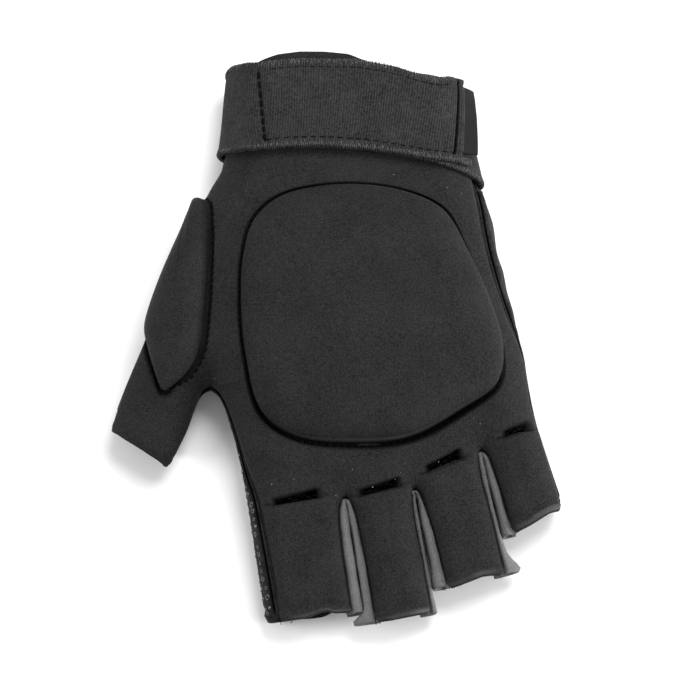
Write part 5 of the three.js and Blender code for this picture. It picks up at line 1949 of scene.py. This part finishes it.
class GloveSizes(bpy.types.PropertyGroup):
    """Real sizes of the glove's fabrics and sewing."""

    neoprene: length_property("Neoprene", "Thickness of the back panel", 0.003)
    suede: length_property("Suede", "Thickness of the palm", 0.0016)
    lycra: length_property("Jersey", "Thickness of the finger strips", 0.0011)
    elastic: length_property("Elastic", "Thickness of the wrist strap", 0.0017)
    label: length_property("Label", "Thickness of the folded label", 0.0009)
    dart_depth: length_property("Dart depth", "How far the flex darts sink", 0.0026)
    edge_roll: length_property("Edge roll", "How far a cut edge rolls down", 0.0011)
    hem_crease: length_property("Hem crease", "Depth of the crease above each open end", 0.00045)
    stitch_pitch: length_property("Stitch pitch", "From one stitch to the next", 0.0024)
    stitch_length: length_property("Stitch length", "Thread that shows in a stitch", 0.0016)
    thread: length_property("Thread", "Diameter of the sewing thread", 0.00045)
    overlock_pitch: length_property("Overlock pitch", "Between the strap's edge threads", 0.00062)
    wale_spacing: length_property("Wale spacing", "Columns of the knit, coarser than real to show", 0.00075)
    rib_spacing: length_property("Rib spacing", "Ribs of the elastic", 0.0009)


def color_property(label, description, text):
    return FloatVectorProperty(
        name=label, description=description, subtype="COLOR", size=3, min=0, max=1, default=srgb(text)
    )


class GloveColors(bpy.types.PropertyGroup):
    """Colours of the glove's fabrics."""

    neoprene: color_property("Neoprene", "Black jersey face of the back panel and pads", "#222222")
    # The painted highlight's pale colour, on the hems and the little finger's outer edge where light catches
    # them.
    painted_highlight: color_property("Rubbed edge", "Jersey worn pale along its folded hems", "#5a5a5a")
    suede: color_property("Suede", "Black suede of the palm", "#1f1f1f")
    lycra: color_property("Jersey strips", "Grey jersey between the fingers", "#636363")
    elastic: color_property("Elastic", "Black ribbed elastic of the strap", "#292929")
    label: color_property("Label", "Black satin of the label", "#101010")
    # Darkened, the thread's colour is also the painted shade's colour.
    thread: color_property("Thread", "Black sewing thread", "#080808")
    edge_thread: color_property("Edge thread", "Overlock thread of the strap", "#4a4a4a")
    silicone: color_property("Silicone", "Grip print of the palm", "#2c2c2c")
    lint: color_property("Lint", "Pale lint on the knit", "#8a8a8a")
    floor: color_property("Floor", "Pale sweep under the glove", "#f4f4f4")


class GloveStage(bpy.types.PropertyGroup):
    """The camera's place and the lights' strengths."""

    elevation: FloatProperty(
        name="Elevation", description="Camera above the horizon", default=math.radians(74), subtype="ANGLE"
    )
    distance: FloatProperty(
        name="Distance", description="Camera from the glove's middle", default=0.64, unit="LENGTH"
    )
    field: FloatProperty(
        name="Field", description="Width of the picture at the glove", default=0.2312, unit="LENGTH"
    )
    key: FloatProperty(name="Key light", description="Watts of the soft light overhead", default=6.0)
    fill: FloatProperty(name="Fill lights", description="Watts of each side light", default=4.0)
    world: FloatProperty(name="Room light", description="Strength of the even light", default=0.55)


# The point that the picture's middle looks at, in metres.
AIM = Vector((0.00128, -0.00219, 0.012))
SENSOR = 36.0
FLOOR_REACH = 3.0


def add_light(name, place, size, power):
    data = bpy.data.lights.new(name, "AREA")
    data.shape = "DISK"
    data.size = size
    data.energy = power
    light = add_object(name, data)
    light.location = place
    light.rotation_euler = (AIM - Vector(place)).to_track_quat("-Z", "Y").to_euler()


def make_stage(context):
    scene = context.scene
    stage = scene.glove_stage
    mesh = bpy.data.meshes.new("floor")
    corners = [(x * FLOOR_REACH, y * FLOOR_REACH, 0) for x, y in ((-1, -1), (1, -1), (1, 1), (-1, 1))]
    mesh.from_pydata(corners, [], [(0, 1, 2, 3)])
    mesh.materials.append(paper_sweep(scene))
    add_object("floor", mesh)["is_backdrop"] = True
    camera_data = bpy.data.cameras.new("camera")
    camera_data.sensor_width = SENSOR
    camera_data.lens = SENSOR * stage.distance / stage.field
    camera_data.clip_start, camera_data.clip_end = 0.01, 10
    camera = add_object("camera", camera_data)
    back = Vector((0, -math.cos(stage.elevation), math.sin(stage.elevation)))
    camera.location = AIM + back * stage.distance
    camera.rotation_euler = (-back).to_track_quat("-Z", "Y").to_euler()
    scene.camera = camera
    scene.view_settings.view_transform = "Standard"
    world = bpy.data.worlds.new("studio")
    world.use_nodes = True
    background = world.node_tree.nodes["Background"]
    background.inputs["Color"].default_value = (1, 1, 1, 1)
    background.inputs["Strength"].default_value = stage.world
    scene.world = world
    add_light("overhead_softbox", (0.22, 0.4, 0.72), 0.5, stage.key)
    add_light("left_softbox", (-0.75, -0.1, 0.4), 0.4, stage.fill * 0.9)
    add_light("right_softbox", (0.85, -0.12, 0.22), 0.35, stage.fill * 2.4)


class StageOperator(bpy.types.Operator):
    """Adds the pale floor, the soft lights and the camera at the picture's angle."""

    bl_idname = "glove.stage"
    bl_label = "Stage"

    def execute(self, context):
        make_stage(context)
        return {"FINISHED"}


class BackOperator(bpy.types.Operator):
    """Sews the neoprene back panel with its seats for the pads, darts and hems."""

    bl_idname = "glove.back"
    bl_label = "Back panel"

    def execute(self, context):
        make_back(context)
        return {"FINISHED"}


class PalmOperator(bpy.types.Operator):
    """Sews the suede palm panel and prints its silicone grip."""

    bl_idname = "glove.palm"
    bl_label = "Palm panel"

    def execute(self, context):
        make_palm(context)
        make_grip_print(context)
        return {"FINISHED"}


class FourchetteOperator(bpy.types.Operator):
    """Adds the grey stretch strips between the fingers."""

    bl_idname = "glove.fourchettes"
    bl_label = "Finger strips"

    def execute(self, context):
        make_fourchettes(context)
        return {"FINISHED"}


class PadOperator(bpy.types.Operator):
    """Moulds the foam pads over the back of the hand and the thumb."""

    bl_idname = "glove.pads"
    bl_label = "Foam pads"

    def execute(self, context):
        for name in PADS:
            make_pad(context, name)
        return {"FINISHED"}


class StrapOperator(bpy.types.Operator):
    """Wraps the elastic strap round the wrist, with its bound edges and its label."""

    bl_idname = "glove.strap"
    bl_label = "Wrist strap"

    def execute(self, context):
        make_strap(context)
        make_overlock(context)
        make_label(context)
        return {"FINISHED"}


class SewingOperator(bpy.types.Operator):
    """Adds the stitches, the loose thread ends and a little lint."""

    bl_idname = "glove.sewing"
    bl_label = "Stitches"

    def execute(self, context):
        make_stitches(context)
        make_loose_threads(context)
        make_lint(context)
        return {"FINISHED"}


OPERATORS = (
    StageOperator,
    BackOperator,
    PalmOperator,
    FourchetteOperator,
    PadOperator,
    StrapOperator,
    SewingOperator,
)


class GLOVE_PT_panel(bpy.types.Panel):
    """Lists the glove's pieces in the sidebar."""

    bl_label = "Field Hockey Glove"
    bl_idname = "GLOVE_PT_panel"
    bl_space_type = "VIEW_3D"
    bl_region_type = "UI"
    bl_category = "Glove"

    def draw(self, context):
        for operator in OPERATORS:
            self.layout.operator(operator.bl_idname)


GROUPS_OF_SETTINGS = {"glove_sizes": GloveSizes, "glove_colors": GloveColors, "glove_stage": GloveStage}
CLASSES = (*GROUPS_OF_SETTINGS.values(), *OPERATORS, GLOVE_PT_panel)


def register():
    for cls in CLASSES:
        bpy.utils.register_class(cls)
    for name, group in GROUPS_OF_SETTINGS.items():
        setattr(bpy.types.Scene, name, PointerProperty(type=group))


def unregister():
    for name in GROUPS_OF_SETTINGS:
        delattr(bpy.types.Scene, name)
    for cls in reversed(CLASSES):
        bpy.utils.unregister_class(cls)


def main():
    register()
    bpy.ops.glove.stage()
    bpy.ops.glove.back()
    bpy.ops.glove.palm()
    bpy.ops.glove.fourchettes()
    bpy.ops.glove.pads()
    bpy.ops.glove.strap()
    bpy.ops.glove.sewing()
    boxes = {"cad": CAD_BOX, "visual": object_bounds()}
    {name: [list(corner) for corner in box] for name, box in boxes.items()}


if __name__ == "__main__":
    main()
